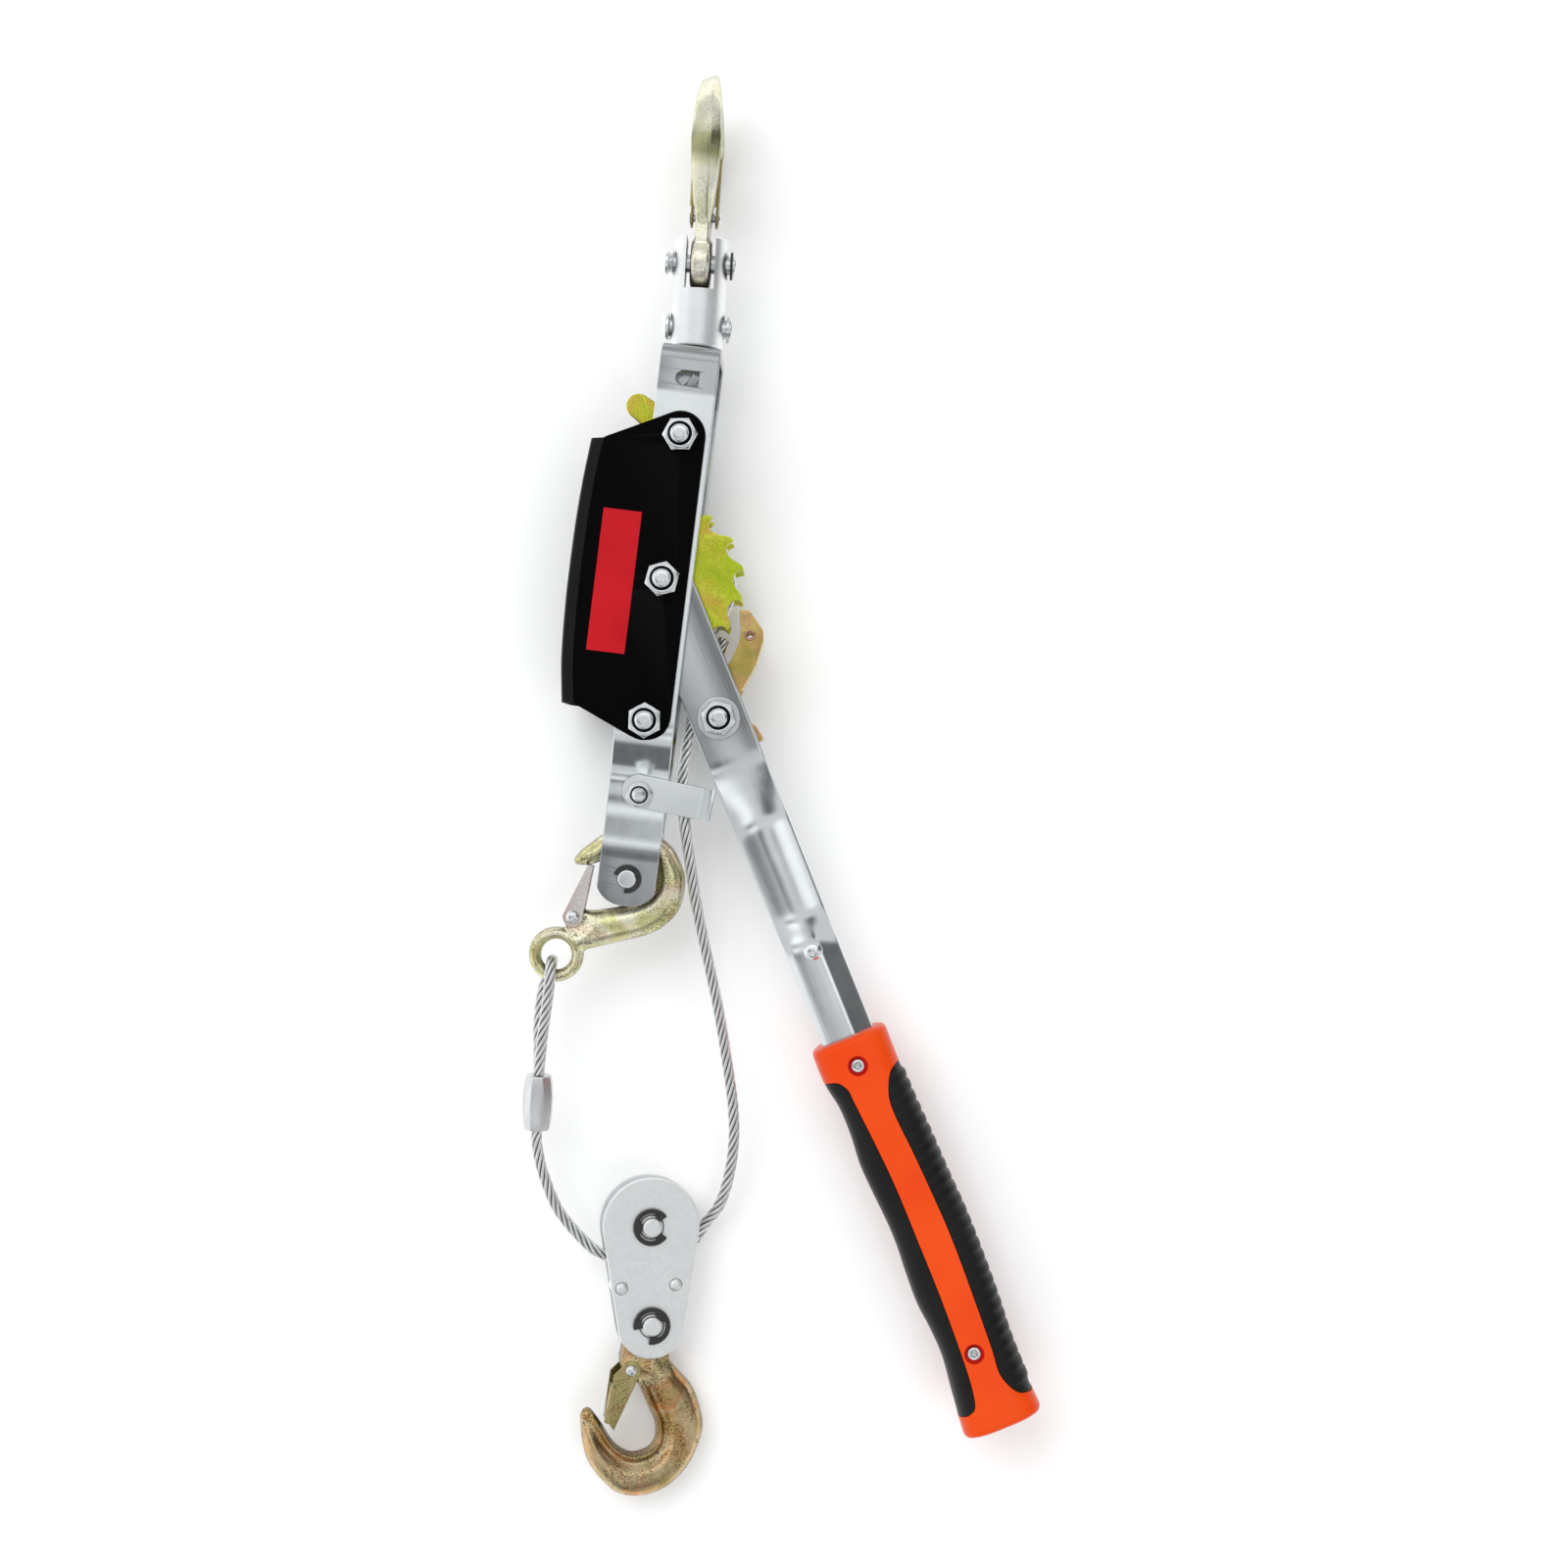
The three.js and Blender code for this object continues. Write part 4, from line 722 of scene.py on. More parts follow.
# Pressed ferrule: a barrel with flats left by the press.
FA, FB = Vector((-26.2, -239.8, 25.2)), Vector((-28.1, -215.6, 27.6))
ferrule_place = T((FA + FB) / 2) @ (FB - FA).to_track_quat("Z", "X").to_matrix().to_4x4()
prof = soften([(0, -12.1), (5.6, -12.1), (6.3, -8.6), (6.9, -3), (6.9, 3), (6.3, 8.6), (5.6, 12.1), (0, 12.1)], 0.9, 4)
V, F = turn(prof, 96)
flats = lambda x, y: min(1.0, 0.935 / math.cos(((math.atan2(y, x) + rad(22.5)) % rad(45)) - rad(22.5)))
V = [(x * flats(x, y), y * flats(x, y), z) for x, y, z in V]
ferrule = finish_mesh("ferrule_pressed", raw(V, F, ferrule_place), "frame", M_ALLOY, ("ferrule",), sharp=50)

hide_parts("cable_run_right")
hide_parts("cable_run_left")
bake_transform(rope_right)
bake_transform(rope_left)

# The drum's winding: three layers of four turns, each turn level with a short step across.
wind = []
TURNS, PER = 12, 4
for i in range(TURNS * 72 + 1):
    t = i / 72
    layer, k = min(2, int(t // PER)), t - PER * min(2, int(t // PER))
    hop = min(1.0, max(0.0, (k % 1 - 0.84) / 0.16))
    hop = hop * hop * (3 - 2 * hop)
    across = (min(int(k), 3) + hop) if int(k) < 3 else 3.0
    w = -7.8 + 5.2 * (across if layer % 2 == 0 else 3 - across)
    r = 17.95 + 5.05 * (layer + (hop if int(k) == 3 and layer < 2 else 0))
    a = rad(-36) + 2 * math.pi * t
    wind.append((r * math.cos(a), r * math.sin(a), MID + w))
mesh, winding_length, _ = rope("rope_winding", wind, 1.3, 4, 2.42)
finish_mesh("rope_winding", mesh, "drum", M_WIRE, ("cable_winding",), sharp=0, weighted=False)


# ------------------------------------------------------------ fasteners
def cone_hex(af, w0, w1, deg, top=True, bottom=False):
    """Hex with the usual 30 degree chamfer, sampled finely so the arcs on the flats are real."""
    n, rows = 96, []
    slope = math.tan(rad(30))
    inner = af / 2 * 0.95
    corner = af / 2 / math.cos(rad(30))
    cut_h = (corner - inner) * slope
    levels = [w0 + cut_h * i / 6 for i in range(7)] if bottom else [w0]
    levels += [w1 - cut_h + cut_h * i / 6 for i in range(7)] if top else [w1]
    V, F = [], []
    for w in levels:
        lim = 1e9
        if top:
            lim = min(lim, inner + (w1 - w) / slope)
        if bottom:
            lim = min(lim, inner + (w - w0) / slope)
        for i in range(n):
            a = 360 * i / n
            r = min(af / 2 / math.cos(rad((a % 60) - 30)), lim)
            V.append((r * math.cos(rad(a + deg)), r * math.sin(rad(a + deg)), w))
    for k in range(len(levels) - 1):
        F += [(k * n + i, k * n + (i + 1) % n, (k + 1) * n + (i + 1) % n, (k + 1) * n + i) for i in range(n)]
    F += [tuple(range(n))[::-1], tuple((len(levels) - 1) * n + i for i in range(n))]
    return V, F


def lock_nut(node, af, w0, h, x, y, deg, place, body):
    """Hexagon, rolled collar and a dark nylon ring."""
    hexa = cone_hex(af, w0, w0 + h * 0.74, deg, top=True, bottom=True)
    R = af * 0.455
    collar = turn(soften([(R, w0 + 2), (R, w0 + h - 0.2), (R - 0.5, w0 + h), (R - 0.95, w0 + h - 0.3), (R - 0.95, w0 + h - 2.2)], 0.4, 4), 64)
    rr = af * 0.315
    place = place @ T((x, y, 0))
    finish_mesh(node + "_body", raw(*merge(hexa, collar), place), body, M_NUT, (node,), 32)
    ring = turn(soften([(R - 0.9, w0 + h - 1.9), (R - 0.95, w0 + h - 1.25), (rr + 0.1, w0 + h - 1.25), (rr - 0.35, w0 + h - 2.4)], 0.3, 3), 64)
    finish_mesh(node + "_nylon", raw(*ring, place), body, M_NYLON)


def threaded(r, w0, end, pitch=1.25):
    """Bolt end with a real thread and a chamfer."""
    V, F, n = [], [], 48
    depth = 0.3
    z, rows = w0, []
    count = int((end - 0.9 - w0) / (pitch / 6))
    for k in range(count + 1):
        h = w0 + (end - 0.9 - w0) * k / count
        rows.append(len(V))
        for i in range(n):
            f = ((h - w0) / pitch - i / n) % 1.0
            rr = r - depth * abs(2 * f - 1)
            V.append((rr * math.cos(2 * math.pi * i / n), rr * math.sin(2 * math.pi * i / n), h))
    for rr, h in ((r - 0.45, end - 0.75), (r - 0.9, end - 0.15), (r - 1.2, end), (r * 0.35, end - 0.12)):
        rows.append(len(V))
        V += [(rr * math.cos(2 * math.pi * i / n), rr * math.sin(2 * math.pi * i / n), h) for i in range(n)]
    for a, b in zip(rows, rows[1:]):
        F += [(a + i, a + (i + 1) % n, b + (i + 1) % n, b + i) for i in range(n)]
    F += [tuple(range(n))[::-1], tuple(rows[-1] + i for i in range(n))]
    return V, F


def bolt(node, r, af, x, y, w0, w1, end, deg, place, body):
    head = cone_hex(af, w0, w1, deg, top=False, bottom=True)
    shank = turn([(0, w1 - 0.5), (r, w1 - 0.5), (r, end - 12), (0, end - 12)], 32)
    finish_mesh(node + "_fine", raw(*merge(head, shank, threaded(r, end - 12.2, end)), place @ T((x, y, 0))), body, M_ZINC, (node,), 32)


def eclip(node, inner, outer, w0, w1, x, y, deg, gap, lugs, place, body, mat, tilt=False):
    a0, a1, N = deg + gap / 2, deg - gap / 2 + 360, 72
    inside = []
    for i in range(N + 1):
        t = i / N
        def near(c, wide):
            d = max(0.0, 1 - abs(t - c) / wide)
            return d * d * (3 - 2 * d)
        grip = min(1.0, max(near(0, 0.17), near(1, 0.17), near(0.5, 0.12)) * 1.6)
        rr = inner + lugs * (1 - grip)
        inside.append((rr * math.cos(rad(a1 + (a0 - a1) * t)), rr * math.sin(rad(a1 + (a0 - a1) * t))))
    loop = arc(0, 0, outer, a0, a1, 72) + inside
    part = slab([loop], w0, w1, 0.18, 2)
    return finish_mesh(node + "_fine", raw(*part, place @ T((x, y, 0))), body, mat, (node,))


TOP_Y, LOW_Y = 60.8, -59.5
bolt("shaft_bolt", 4, 13, 0, 0, -32, -26.1, 35.5, 12, AMID, "frame")
lock_nut("shaft_nut", 13, 26.1, 8, 0, 0, 22, AMID, "frame")
bolt("stop_pawl_bolt", 4, 13, 0, TOP_Y, -32, -26.1, 35.5, 40, AMID, "frame")
lock_nut("stop_pawl_nut", 13, 26.1, 8, 0, TOP_Y, 8, AMID, "frame")
bolt("lower_bolt", 4, 13, 0, LOW_Y, -32, -26.1, 35.5, 5, AMID, "frame")
lock_nut("lower_nut", 13, 26.1, 8, 0, LOW_Y, 35, AMID, "frame")
bolt("clip_bolt", 3, 10, 1.2, -90.8, 5.6, 9.7, 24.2, 20, AMID, "frame")
lock_nut("clip_nut", 10, 16.7, 6, 1.2, -90.8, 14, AMID, "frame")
bolt("drive_pawl_bolt", 4, 13, 0, -62.5, -25.1, -19.8, 31.4, 0, ALEVER, "lever")
lock_nut("drive_pawl_nut", 13, 21.6, 8, 0, -62.5, 25, ALEVER, "lever")
finish_mesh("drive_pawl_washer_fine", raw(*slab([circle(0, -62.5, 9, 72), circle(0, -62.5, 4.3, 48)], 19.8, 21.3, 0.3, 3), ALEVER), "lever", M_WASHER, ("drive_pawl_washer",))
V, F = turn(soften([(0, -13.6), (5.4, -13.6), (6, -13), (6, -11.3), (4, -11.3), (4, 13), (3.4, 13.6), (0, 13.6)], 0.4, 3), 56)
finish_mesh("hook_pin_fine", raw(V, F, AMID @ T((0, -126.9, 0))), "frame", M_ZINC, ("hook_pin",))
eclip("hook_pin_eclip", 4.1, 6.1, 11.3, 12.3, 0, -126.9, 215, 95, 0.35, AMID, "frame", M_CLIP)
finish_mesh("lower_spacer_fine", raw(*turn(soften([(4.4, -18.8), (6.2, -18.8), (6.2, 18.8), (4.4, 18.8)], 0.4, 2) + [(4.4, -18.8)], 48), AMID @ T((0, LOW_Y, 0))), "frame", M_ZINC, ("lower_spacer",))


def coil(node, x, y, place, body, half=8.3, r=5.4, turns=7, wire=0.65):
    c = [(r * math.cos(2 * math.pi * turns * t / 260), r * math.sin(2 * math.pi * turns * t / 260), -half + wire + (2 * half - 2 * wire) * t / 260) for t in range(261)]
    P, s = resample(c, 0.9)
    tan, N, B = frames(P)
    k, V, F = 10, [], []
    for i in range(len(P)):
        for j in range(k):
            a = 2 * math.pi * j / k
            V.append(tuple(P[i] + wire * (math.cos(a) * N[i] + math.sin(a) * B[i])))
    for i in range(len(P) - 1):
        F += [(i * k + j, i * k + (j + 1) % k, (i + 1) * k + (j + 1) % k, (i + 1) * k + j) for j in range(k)]
    F += [tuple(range(k))[::-1], tuple((len(P) - 1) * k + j for j in range(k))]
    finish_mesh(node + "_coil", raw(V, F, place @ T((x, y, 0))), body, M_ZINC, (node,), 0, False)


coil("stop_pawl_spring", 0, TOP_Y, AMID, "frame")
coil("drive_pawl_spring", 0, -62.5, ALEVER, "lever")

# ------------------------------------------------------------ frame, guard, guide, lever arms

def bend_corners(points, d=5.0, seg=8):
    out = [points[0]]
    for a, b, c in zip(points, points[1:], points[2:]):
        A, B, C = Vector(a), Vector(b), Vector(c)
        k = min(d, (A - B).length * 0.46, (C - B).length * 0.46)
        p, q = B + (A - B).normalized() * k, B + (C - B).normalized() * k
        out += [tuple((1 - t) ** 2 * p + 2 * t * (1 - t) * B + t * t * q) for t in [i / seg for i in range(seg + 1)]]
    return out + [points[-1]]


def tube_of(rows):
    """Rows of equal-length loops as a closed skin."""
    n, V, F = len(rows[0]), [p for r in rows for p in r], []
    for a in range(len(rows) - 1):
        F += [(a * n + i, a * n + (i + 1) % n, (a + 1) * n + (i + 1) % n, (a + 1) * n + i) for i in range(n)]
    return V, F + [tuple(range(n))[::-1], tuple((len(rows) - 1) * n + i for i in range(n))]


# The frame is one bar: its centre line in (y, w), up the front, over the bridge and down the rear.
half = [(-138.5, 9), (-112.8, 9), (-96.8, 12), (-81.4, 12), (-65.4, 22), (93.3, 22)]
centre = bend_corners(half, 5.5) + [(93.8 + 4 * math.sin(rad(a)), 18 + 4 * math.cos(rad(a))) for a in range(9, 91, 9)]
fine_line = []
for a, b in zip(centre, centre[1:]):
    k = max(1, int(abs(b[0] - a[0]) / 1.6))
    fine_line += [(a[0] + (b[0] - a[0]) * i / k, a[1] + (b[1] - a[1]) * i / k) for i in range(k)]
ends = [(-138.5, 9), (-138.3, 9), (-138.0, 9), (-137.5, 9), (-136.8, 9), (-136, 9), (-135.2, 9), (-134, 9), (-132.8, 9), (-131.6, 9), (-130, 9)]
fine_line = ends + [q for q in fine_line if q[0] > -129.5] + [centre[-1]]
fine_line += [(y, -w) for y, w in reversed(fine_line)]
rows = []
for i, (y, w) in enumerate(fine_line):
    a, b = fine_line[max(0, i - 1)], fine_line[min(len(fine_line) - 1, i + 1)]
    t = Vector((b[0] - a[0], b[1] - a[1])).normalized()
    nrm = Vector((-t.y, t.x))
    W = float(np.interp(y, [-138.5, -138.3, -137.9, -136.8, -135.4, -133.6, -131.5], [2.2, 3.6, 5.4, 7.8, 9.7, 11.4, 12.5]))
    loop = []
    for cx, cn, a0 in ((1, 1, 0), (-1, 1, 90), (-1, -1, 180), (1, -1, 270)):
        for j in range(4):
            ang = rad(a0 + 30 * j)
            loop.append((cx * (W - 0.55) + 0.55 * math.cos(ang), cn * 1.45 + 0.55 * math.sin(ang)))
    rows.append([(x, y + nrm.x * k, w + nrm.y * k) for x, k in loop])
strap_mesh = local_mesh(tube_of(rows))
slot = [(4.7, 81.9), (4.7, 88.5), (-2, 88.5)] + arc(-2, 85.2, 3.3, 90, 270, 16)[1:-1] + [(-2, 81.9)]
drill = [moved(turn([(0, -30), (4.3, -30), (4.3, 30), (0, 30)], 48), T((0, y, 0))) for y in (0, TOP_Y, LOW_Y, -126.9)]
drill += [slab([slot], 19, 25, 0)]
drill += [moved(turn([(0, 90), (6.3, 90), (6.3, 105), (0, 105)], 48), T((0.8, 0, 0)) @ Matrix.Rotation(rad(-90), 4, "X"))]
strap_mesh = boolean(strap_mesh, local_mesh(merge(*drill)))
strap_mesh.transform(Matrix.Scale(MM, 4) @ AMID)
finish_mesh("frame_strap_fine", strap_mesh, "frame", M_STRAP, ("frame_strap",), 30)
# Lanced tab left standing inside the slot.
tab = slab([[(-1.2, 0), (1.5, 0), (2.6, 5.6), (-0.6, 5.6)]], -0.5, 0.5, 0.15, 2)
finish_mesh("frame_strap_tab", raw(*tab, AMID @ T((1.0, 82.0, 21.3)) @ Matrix.Rotation(rad(14), 4, "X") @ RZ(-16)), "frame", M_STRAP)
tab = slab([[(-0.9, 0), (0.7, 0), (0.9, 4.6), (-0.4, 4.6)]], -0.5, 0.5, 0.15, 2)
finish_mesh("frame_strap_tab_2", raw(*tab, AMID @ T((-2.4, 82.4, 21.4)) @ Matrix.Rotation(rad(10), 4, "X") @ RZ(-30)), "frame", M_STRAP)

# Guard: a wrap round the drum's left side between two flat flanks.
EDGE = [(-36.5, -56), (-38.9, -38), (-40.1, -15), (-40.3, 0), (-40.1, 20), (-39.3, 38), (-37.8, 56)]
edge_line = catmull([(x, y, 0) for x, y in EDGE], 6)
edge_at = lambda y: float(np.interp(y, [q[1] for q in edge_line], [q[0] for q in edge_line]))
rows = []
for y in list(np.linspace(-56.1, 56.1, 57)):
    e = edge_at(y)
    outer = bend_corners([(e + 6.0, 25.8), (e + 5.8, 25.8), (e, 18), (e, -18), (e + 5.8, -25.8), (e + 6.0, -25.8)], 2.4, 5)
    inner = bend_corners([(e + 6.0, 24.3), (e + 5.1, 24.3), (e + 1.5, 17.4), (e + 1.5, -17.4), (e + 5.1, -24.3), (e + 6.0, -24.3)], 2.0, 5)
    rows.append([(x, y, w) for x, w in outer] + [(x, y, w) for x, w in reversed(inner)])
flank = [(edge_at(y) + 6.05, y) for y in np.linspace(-56.1, 56.1, 40)] + [(-31.4, 56.6)] + arc(0, TOP_Y, 10.5, 116.6, 0, 24) + [(x, LOW_Y + y) for x, y, _ in catmull([(10.5, 6, 0), (10.5, 2, 0), (9.8, -1.7, 0), (8.1, -4.7, 0), (5.4, -6.8, 0), (2, -8, 0), (-1.5, -8.3, 0), (-5.5, -7.2, 0)], 4)]
holes = [circle(0, y, 4.3, 40) for y in (0, TOP_Y, LOW_Y)]
guard = merge(tube_of(rows), slab([flank, *holes], 24.3, 25.8, 0.3, 3), slab([flank, *holes], -25.8, -24.3, 0.3, 3))
guard = merge(guard, moved(turn(soften([(0, -0.5), (2.2, -0.5), (2.2, 0.4), (1.4, 0.95), (0, 1.0)], 0.4, 3), 32), T((-40.2, 1, 0)) @ Matrix.Rotation(rad(-90), 4, "Y")))
finish_mesh("guard_cover_fine", raw(*guard, AMID), "frame", M_COVER, ("guard_cover",), 32)


# Clip that keeps the cable beside the frame: a strip folded back under itself.
band = bend_corners([(-9, 15.3), (24.6, 15.3)], 1) + arc(24.6, 9.75, 5.55, 81, -81, 18) + [(24.6, 4.2), (15.6, 4.2)]
rows = []
for i, (x, w) in enumerate(band):
    a, b = band[max(0, i - 1)], band[min(len(band) - 1, i + 1)]
    t = Vector((b[0] - a[0], b[1] - a[1])).normalized()
    nrm = Vector((-t.y, t.x))
    W = 6.8
    loop = []
    for cx, cn, a0 in ((1, 1, 0), (-1, 1, 90), (-1, -1, 180), (1, -1, 270)):
        for j in range(4):
            ang = rad(a0 + 30 * j)
            loop.append((cx * (W - 0.4) + 0.4 * math.cos(ang), cn * 0.6 + 0.4 * math.sin(ang)))
    rows.append([(x + nrm.x * k, yy, w + nrm.y * k) for yy, k in loop])
tongue_plan = arc(-1, 0, 6.8, 90, 270, 32) + [(40, -6.9), (40, 6.9)]
clip = boolean(local_mesh(tube_of(rows)), local_mesh(slab([tongue_plan], -10, 30, 0)), "INTERSECT")
clip = boolean(clip, local_mesh(moved(turn([(0, 0), (3.3, 0), (3.3, 30), (0, 30)], 40), T((0, -1.5, 0)))))
clip.transform(Matrix.Scale(MM, 4) @ AMID @ T((1.2, -90.8, 0)) @ RZ(-4.6) @ T((0, 1.5, 0)))
finish_mesh("cable_guide_fine", clip, "frame", M_GUIDE, ("cable_guide",), 34)


def lever_arm(side):
    """Flat bar that is stepped down towards the other arm and pressed into a channel from there on."""
    ys = [11.95, 11.8, 11.4, 10.6, 9.2, 7, 4, 0] + list(np.arange(-3, -78, -3.0)) + list(np.arange(-78, -182, -0.9)) + list(np.arange(-184, -366, -14.0)) + [-366]
    grid = np.arange(-380, 20, 0.25)
    line = np.interp(grid, [-366, -165, -154, -110, -84, 12], [9.2, 9.2, 12.5, 12.5, 19.5, 19.5])
    k = np.exp(-0.5 * (np.arange(-40, 41) * 0.25 / 2.4) ** 2)
    line = np.convolve(np.pad(line, 40, mode="edge"), k / k.sum(), "valid")
    step = lambda y, a, b: (lambda t: t * t * (3 - 2 * t))(min(1.0, max(0.0, (y - a) / (b - a))))
    fr = [0, 0.06, 0.12, 0.17, 0.21, 0.25, 0.29, 0.33, 0.38, 0.44, 0.5, 0.56, 0.62, 0.67, 0.71, 0.75, 0.8, 0.85, 0.9, 0.94, 0.965, 0.98, 0.992, 1.0]
    fr = [-f for f in reversed(fr[1:])] + fr
    rows = []
    for y in ys:
        base = float(np.interp(y, grid, line))
        W = math.sqrt(max(0.2, 144 - y * y)) if y > 0 else float(np.interp(y, [-160, -84], [11.5, 12]))
        d, c = 3.9 * step(y, -158, -171), 0.42 + 1.25 * step(y, -88, -116) - 1.35 * step(y, -158, -171)
        t, k2 = 0.05 + 2.75 * step(y, -160, -172), step(y, -158, -172)

        def top(x):
            q = 3.0 if x > 0 else 8.6
            v = (abs(x) - q) / (W - q)
            f = 0.5 * (v + math.sqrt(v * v + 0.012))
            return base - d * f * (1.0 if x > 0 else 0.5) - c * (x / W) ** 2

        def skin(x):
            e = max(0.0, abs(x) - (W - 0.7))
            return top(x) - (0.7 - math.sqrt(max(0.0, 0.49 - e * e)))

        low = top(W) - 3
        wall = low * (1 - k2) + 0.6 * k2
        outer = [(W * f, y, skin(W * f)) for f in fr]
        inner = [((W - t) * f, y, min(top((W - t) * f), skin(W * f)) - (3 if k2 < 0.5 else 2.9)) for f in reversed(fr)]
        loop = [(-W, y, wall + 0.01)] + outer + [(W, y, wall + 0.01), (W - t, y, wall)] + inner + [(-(W - t), y, wall)]
        rows.append([(x, yy, side * w) for x, yy, w in loop])
    m = local_mesh(tube_of(rows))
    return boolean(m, local_mesh(turn([(0, -30), (4.25, -30), (4.25, 30), (0, 30)], 40)))


for node, side in (("lever_arm_front", 1), ("lever_arm_rear", -1)):
    m = lever_arm(side)
    m.transform(Matrix.Scale(MM, 4) @ ALEVER)
    finish_mesh(node + "_fine", m, "lever", M_LEVER, (node,), 40)
finish_mesh("guard_rivet_fine", raw(*turn(soften([(0, 0), (1.5, 0), (1.5, 2.4), (3.2, 2.4), (2.7, 3.7), (1.3, 4.4), (0, 4.5)], 0.4, 3), 32), AMID @ T((-38.2, -1.3, 0)) @ Matrix.Rotation(rad(-90), 4, "Y")), "frame", M_ZINC, ("guard_rivet",))
V, F = turn(soften([(0, -11.6), (2.6, -11.1), (4.4, -9.4), (3, -9.3), (3, 9.3), (4.4, 9.4), (2.6, 11.1), (0, 11.6)], 0.8, 4), 48)
finish_mesh("lever_rivet_fine", raw(V, F, ALEVER @ T((0, -168.7, 0))), "lever", M_NUT, ("lever_rivet",), 60)

# Bare red field on the guard's front face.
label = slab([[(-28.2, -33), (-12, -33), (-12, 27), (-28.2, 27)]], 25.83, 25.98, 0.05, 1)
finish_mesh("guard_label", raw(*label, AMID), "frame", M_LABEL)

# ------------------------------------------------------------ drum wheels and pawls
PHASE = -8.2
wheel = []
for i in range(16):
    pts = [(0, 34.1), (1.5, 34.2), (3.1, 34.0), (5.2, 33.3), (7.6, 31.9), (10.6, 30.5), (14.2, 29.55), (17.6, 29.35), (20.4, 29.8), (22.3, 30.8), (22.95, 32.0), (22.85, 33.2)]
    wheel += [(r * math.cos(rad(PHASE + i * 22.5 + a)), r * math.sin(rad(PHASE + i * 22.5 + a))) for a, r in pts]
for node, w0, w1 in (("ratchet_wheel_front", 11, 16), ("ratchet_wheel_rear", -16, -11)):
    finish_mesh(node + "_fine", raw(*slab([wheel, circle(0, 0, 4.25, 48)], w0, w1, 0.3, 2), AMID), "drum", M_YELLOW, (node,))
finish_mesh("drum_hub_fine", raw(*slab([circle(0, 0, 15, 64), circle(0, 0, 4.25, 48)], -10.6, 10.6, 0.4, 2), AMID), "drum", M_ZINC, ("drum_hub",))

cheek = [(22.9, 41.2), (26.6, 39.3), (29.4, 29.6), (28.2, 25.6), (22.1, 16.9), (13, 8.4), (8.4, 2.6), (7.6, -2.6), (13.7, -7.2), (15.4, -14.1), (12.5, -14.5), (5, -7.4), (0, -7.6), (-5.4, -5.4), (-7.5, 0), (-5.6, 5), (-2, 9), (6, 16), (13, 22.3), (17, 26.5), (20, 31.2), (22.1, 39.3)]


def rounded_loop(loop, r=1.2, seg=4):
    out, n = [], len(loop)
    for i in range(n):
        A, B, C = Vector(loop[i - 1]), Vector(loop[i]), Vector(loop[(i + 1) % n])
        d = min(r, (A - B).length * 0.42, (C - B).length * 0.42)
        p, q = B + (A - B).normalized() * d, B + (C - B).normalized() * d
        out += [tuple((1 - t) ** 2 * p + 2 * t * (1 - t) * B + t * t * q) for t in [k / seg for k in range(seg + 1)]]
    return out


place = ALEVER @ T((0, -62.5, 0)) @ RZ(-3.8)
holes = [circle(0, 0, 4.3, 40), circle(23.4, 29.4, 1.5, 24)]
web = [(29.4, 29.6), (28.2, 25.6), (22.1, 16.9), (13, 8.4), (11.2, 10.2), (20.2, 18.7), (25.8, 26.8), (26.9, 30)]
eyelet = turn(soften([(1.3, 11.7), (1.3, 15.6), (1.7, 16.1), (2.3, 15.95), (2.6, 15.3), (2.2, 15.2)], 0.3, 3) + [(1.5, 15.1), (1.5, 11.7)], 32, True)
parts = merge(slab([rounded_loop(cheek, 1.4), *holes], 11.6, 15.4, 0.35, 3), slab([rounded_loop(cheek, 1.4), *holes], -15.4, -11.6, 0.35, 3), slab([web], -12, 12, 0.3, 2))
finish_mesh("drive_pawl_fine", raw(*parts, place), "drive_pawl", M_PAWL, ("drive_pawl",))
finish_mesh("drive_pawl_eyelet", raw(*eyelet, place @ T((23.4, 29.4, 0))), "drive_pawl", M_COPPER)

arm = [(-25.1, -42.1), (-29.3, -40.3), (-31.4, -33), (-29.2, -22.5), (-20, -10), (-7, 3), (5, -5.6), (-1, -8.5), (-12, -15), (-19.8, -24.8), (-22.8, -33.7)]
place = AMID @ T((0, TOP_Y, 0)) @ RZ(-3.8)
tongue = hull2(0, 0, 6.5, -20.4, 10.3, 5.2, 20)
parts = merge(
    slab([rounded_loop(arm, 1.2)], 11.6, 15.4, 0.35, 3), slab([rounded_loop(arm, 1.2)], -15.4, -11.6, 0.35, 3),
    slab([circle(0, 0, 7.8, 48), circle(0, 0, 4.3, 40)], 11.6, 15.4, 0.35, 3), slab([circle(0, 0, 7.8, 48), circle(0, 0, 4.3, 40)], -15.4, -11.6, 0.35, 3),
    slab([tongue, circle(0, 0, 4.35, 40)], 11.65, 15.35, 0.5, 3), slab([[(-31.2, -32.6), (-29.2, -23), (-27.0, -23.8), (-29.0, -32.3)]], -12, 12, 0.3, 2),
    slab([[(-19.8, 14.6), (-18.9, 15.1), (-14.5, 6.9), (-15.4, 6.5)]], 15.0, 16.0, 0.35, 2),
)
finish_mesh("stop_pawl_fine", raw(*parts, place), "stop_pawl", M_YELLOW, ("stop_pawl",))

# ------------------------------------------------------------ hooks
OUTER = [(8.6, -9), (8.3, -15.5), (12.5, -20.9), (18.5, -27.7), (22.7, -38.8), (23.6, -46), (21.9, -53.2), (17, -63), (8.3, -71.3), (-0.2, -74.7), (-5.9, -75.2), (-13.8, -73.5), (-21.5, -66.8), (-27, -58.7), (-29.3, -49.8), (-30, -42.2), (-30, -38.8), (-28.5, -36.2), (-26.2, -35.8)]
INNER = [(-23.7, -38.6), (-20.2, -43.9), (-17.2, -49), (-13.4, -53.2), (-8.7, -55.8), (-4.9, -55.8), (-0.2, -54.1), (2.3, -50.7), (2.6, -43.9), (-0.2, -37.1), (-4.9, -26.4)]
LX, LY = -8.6, -19.6


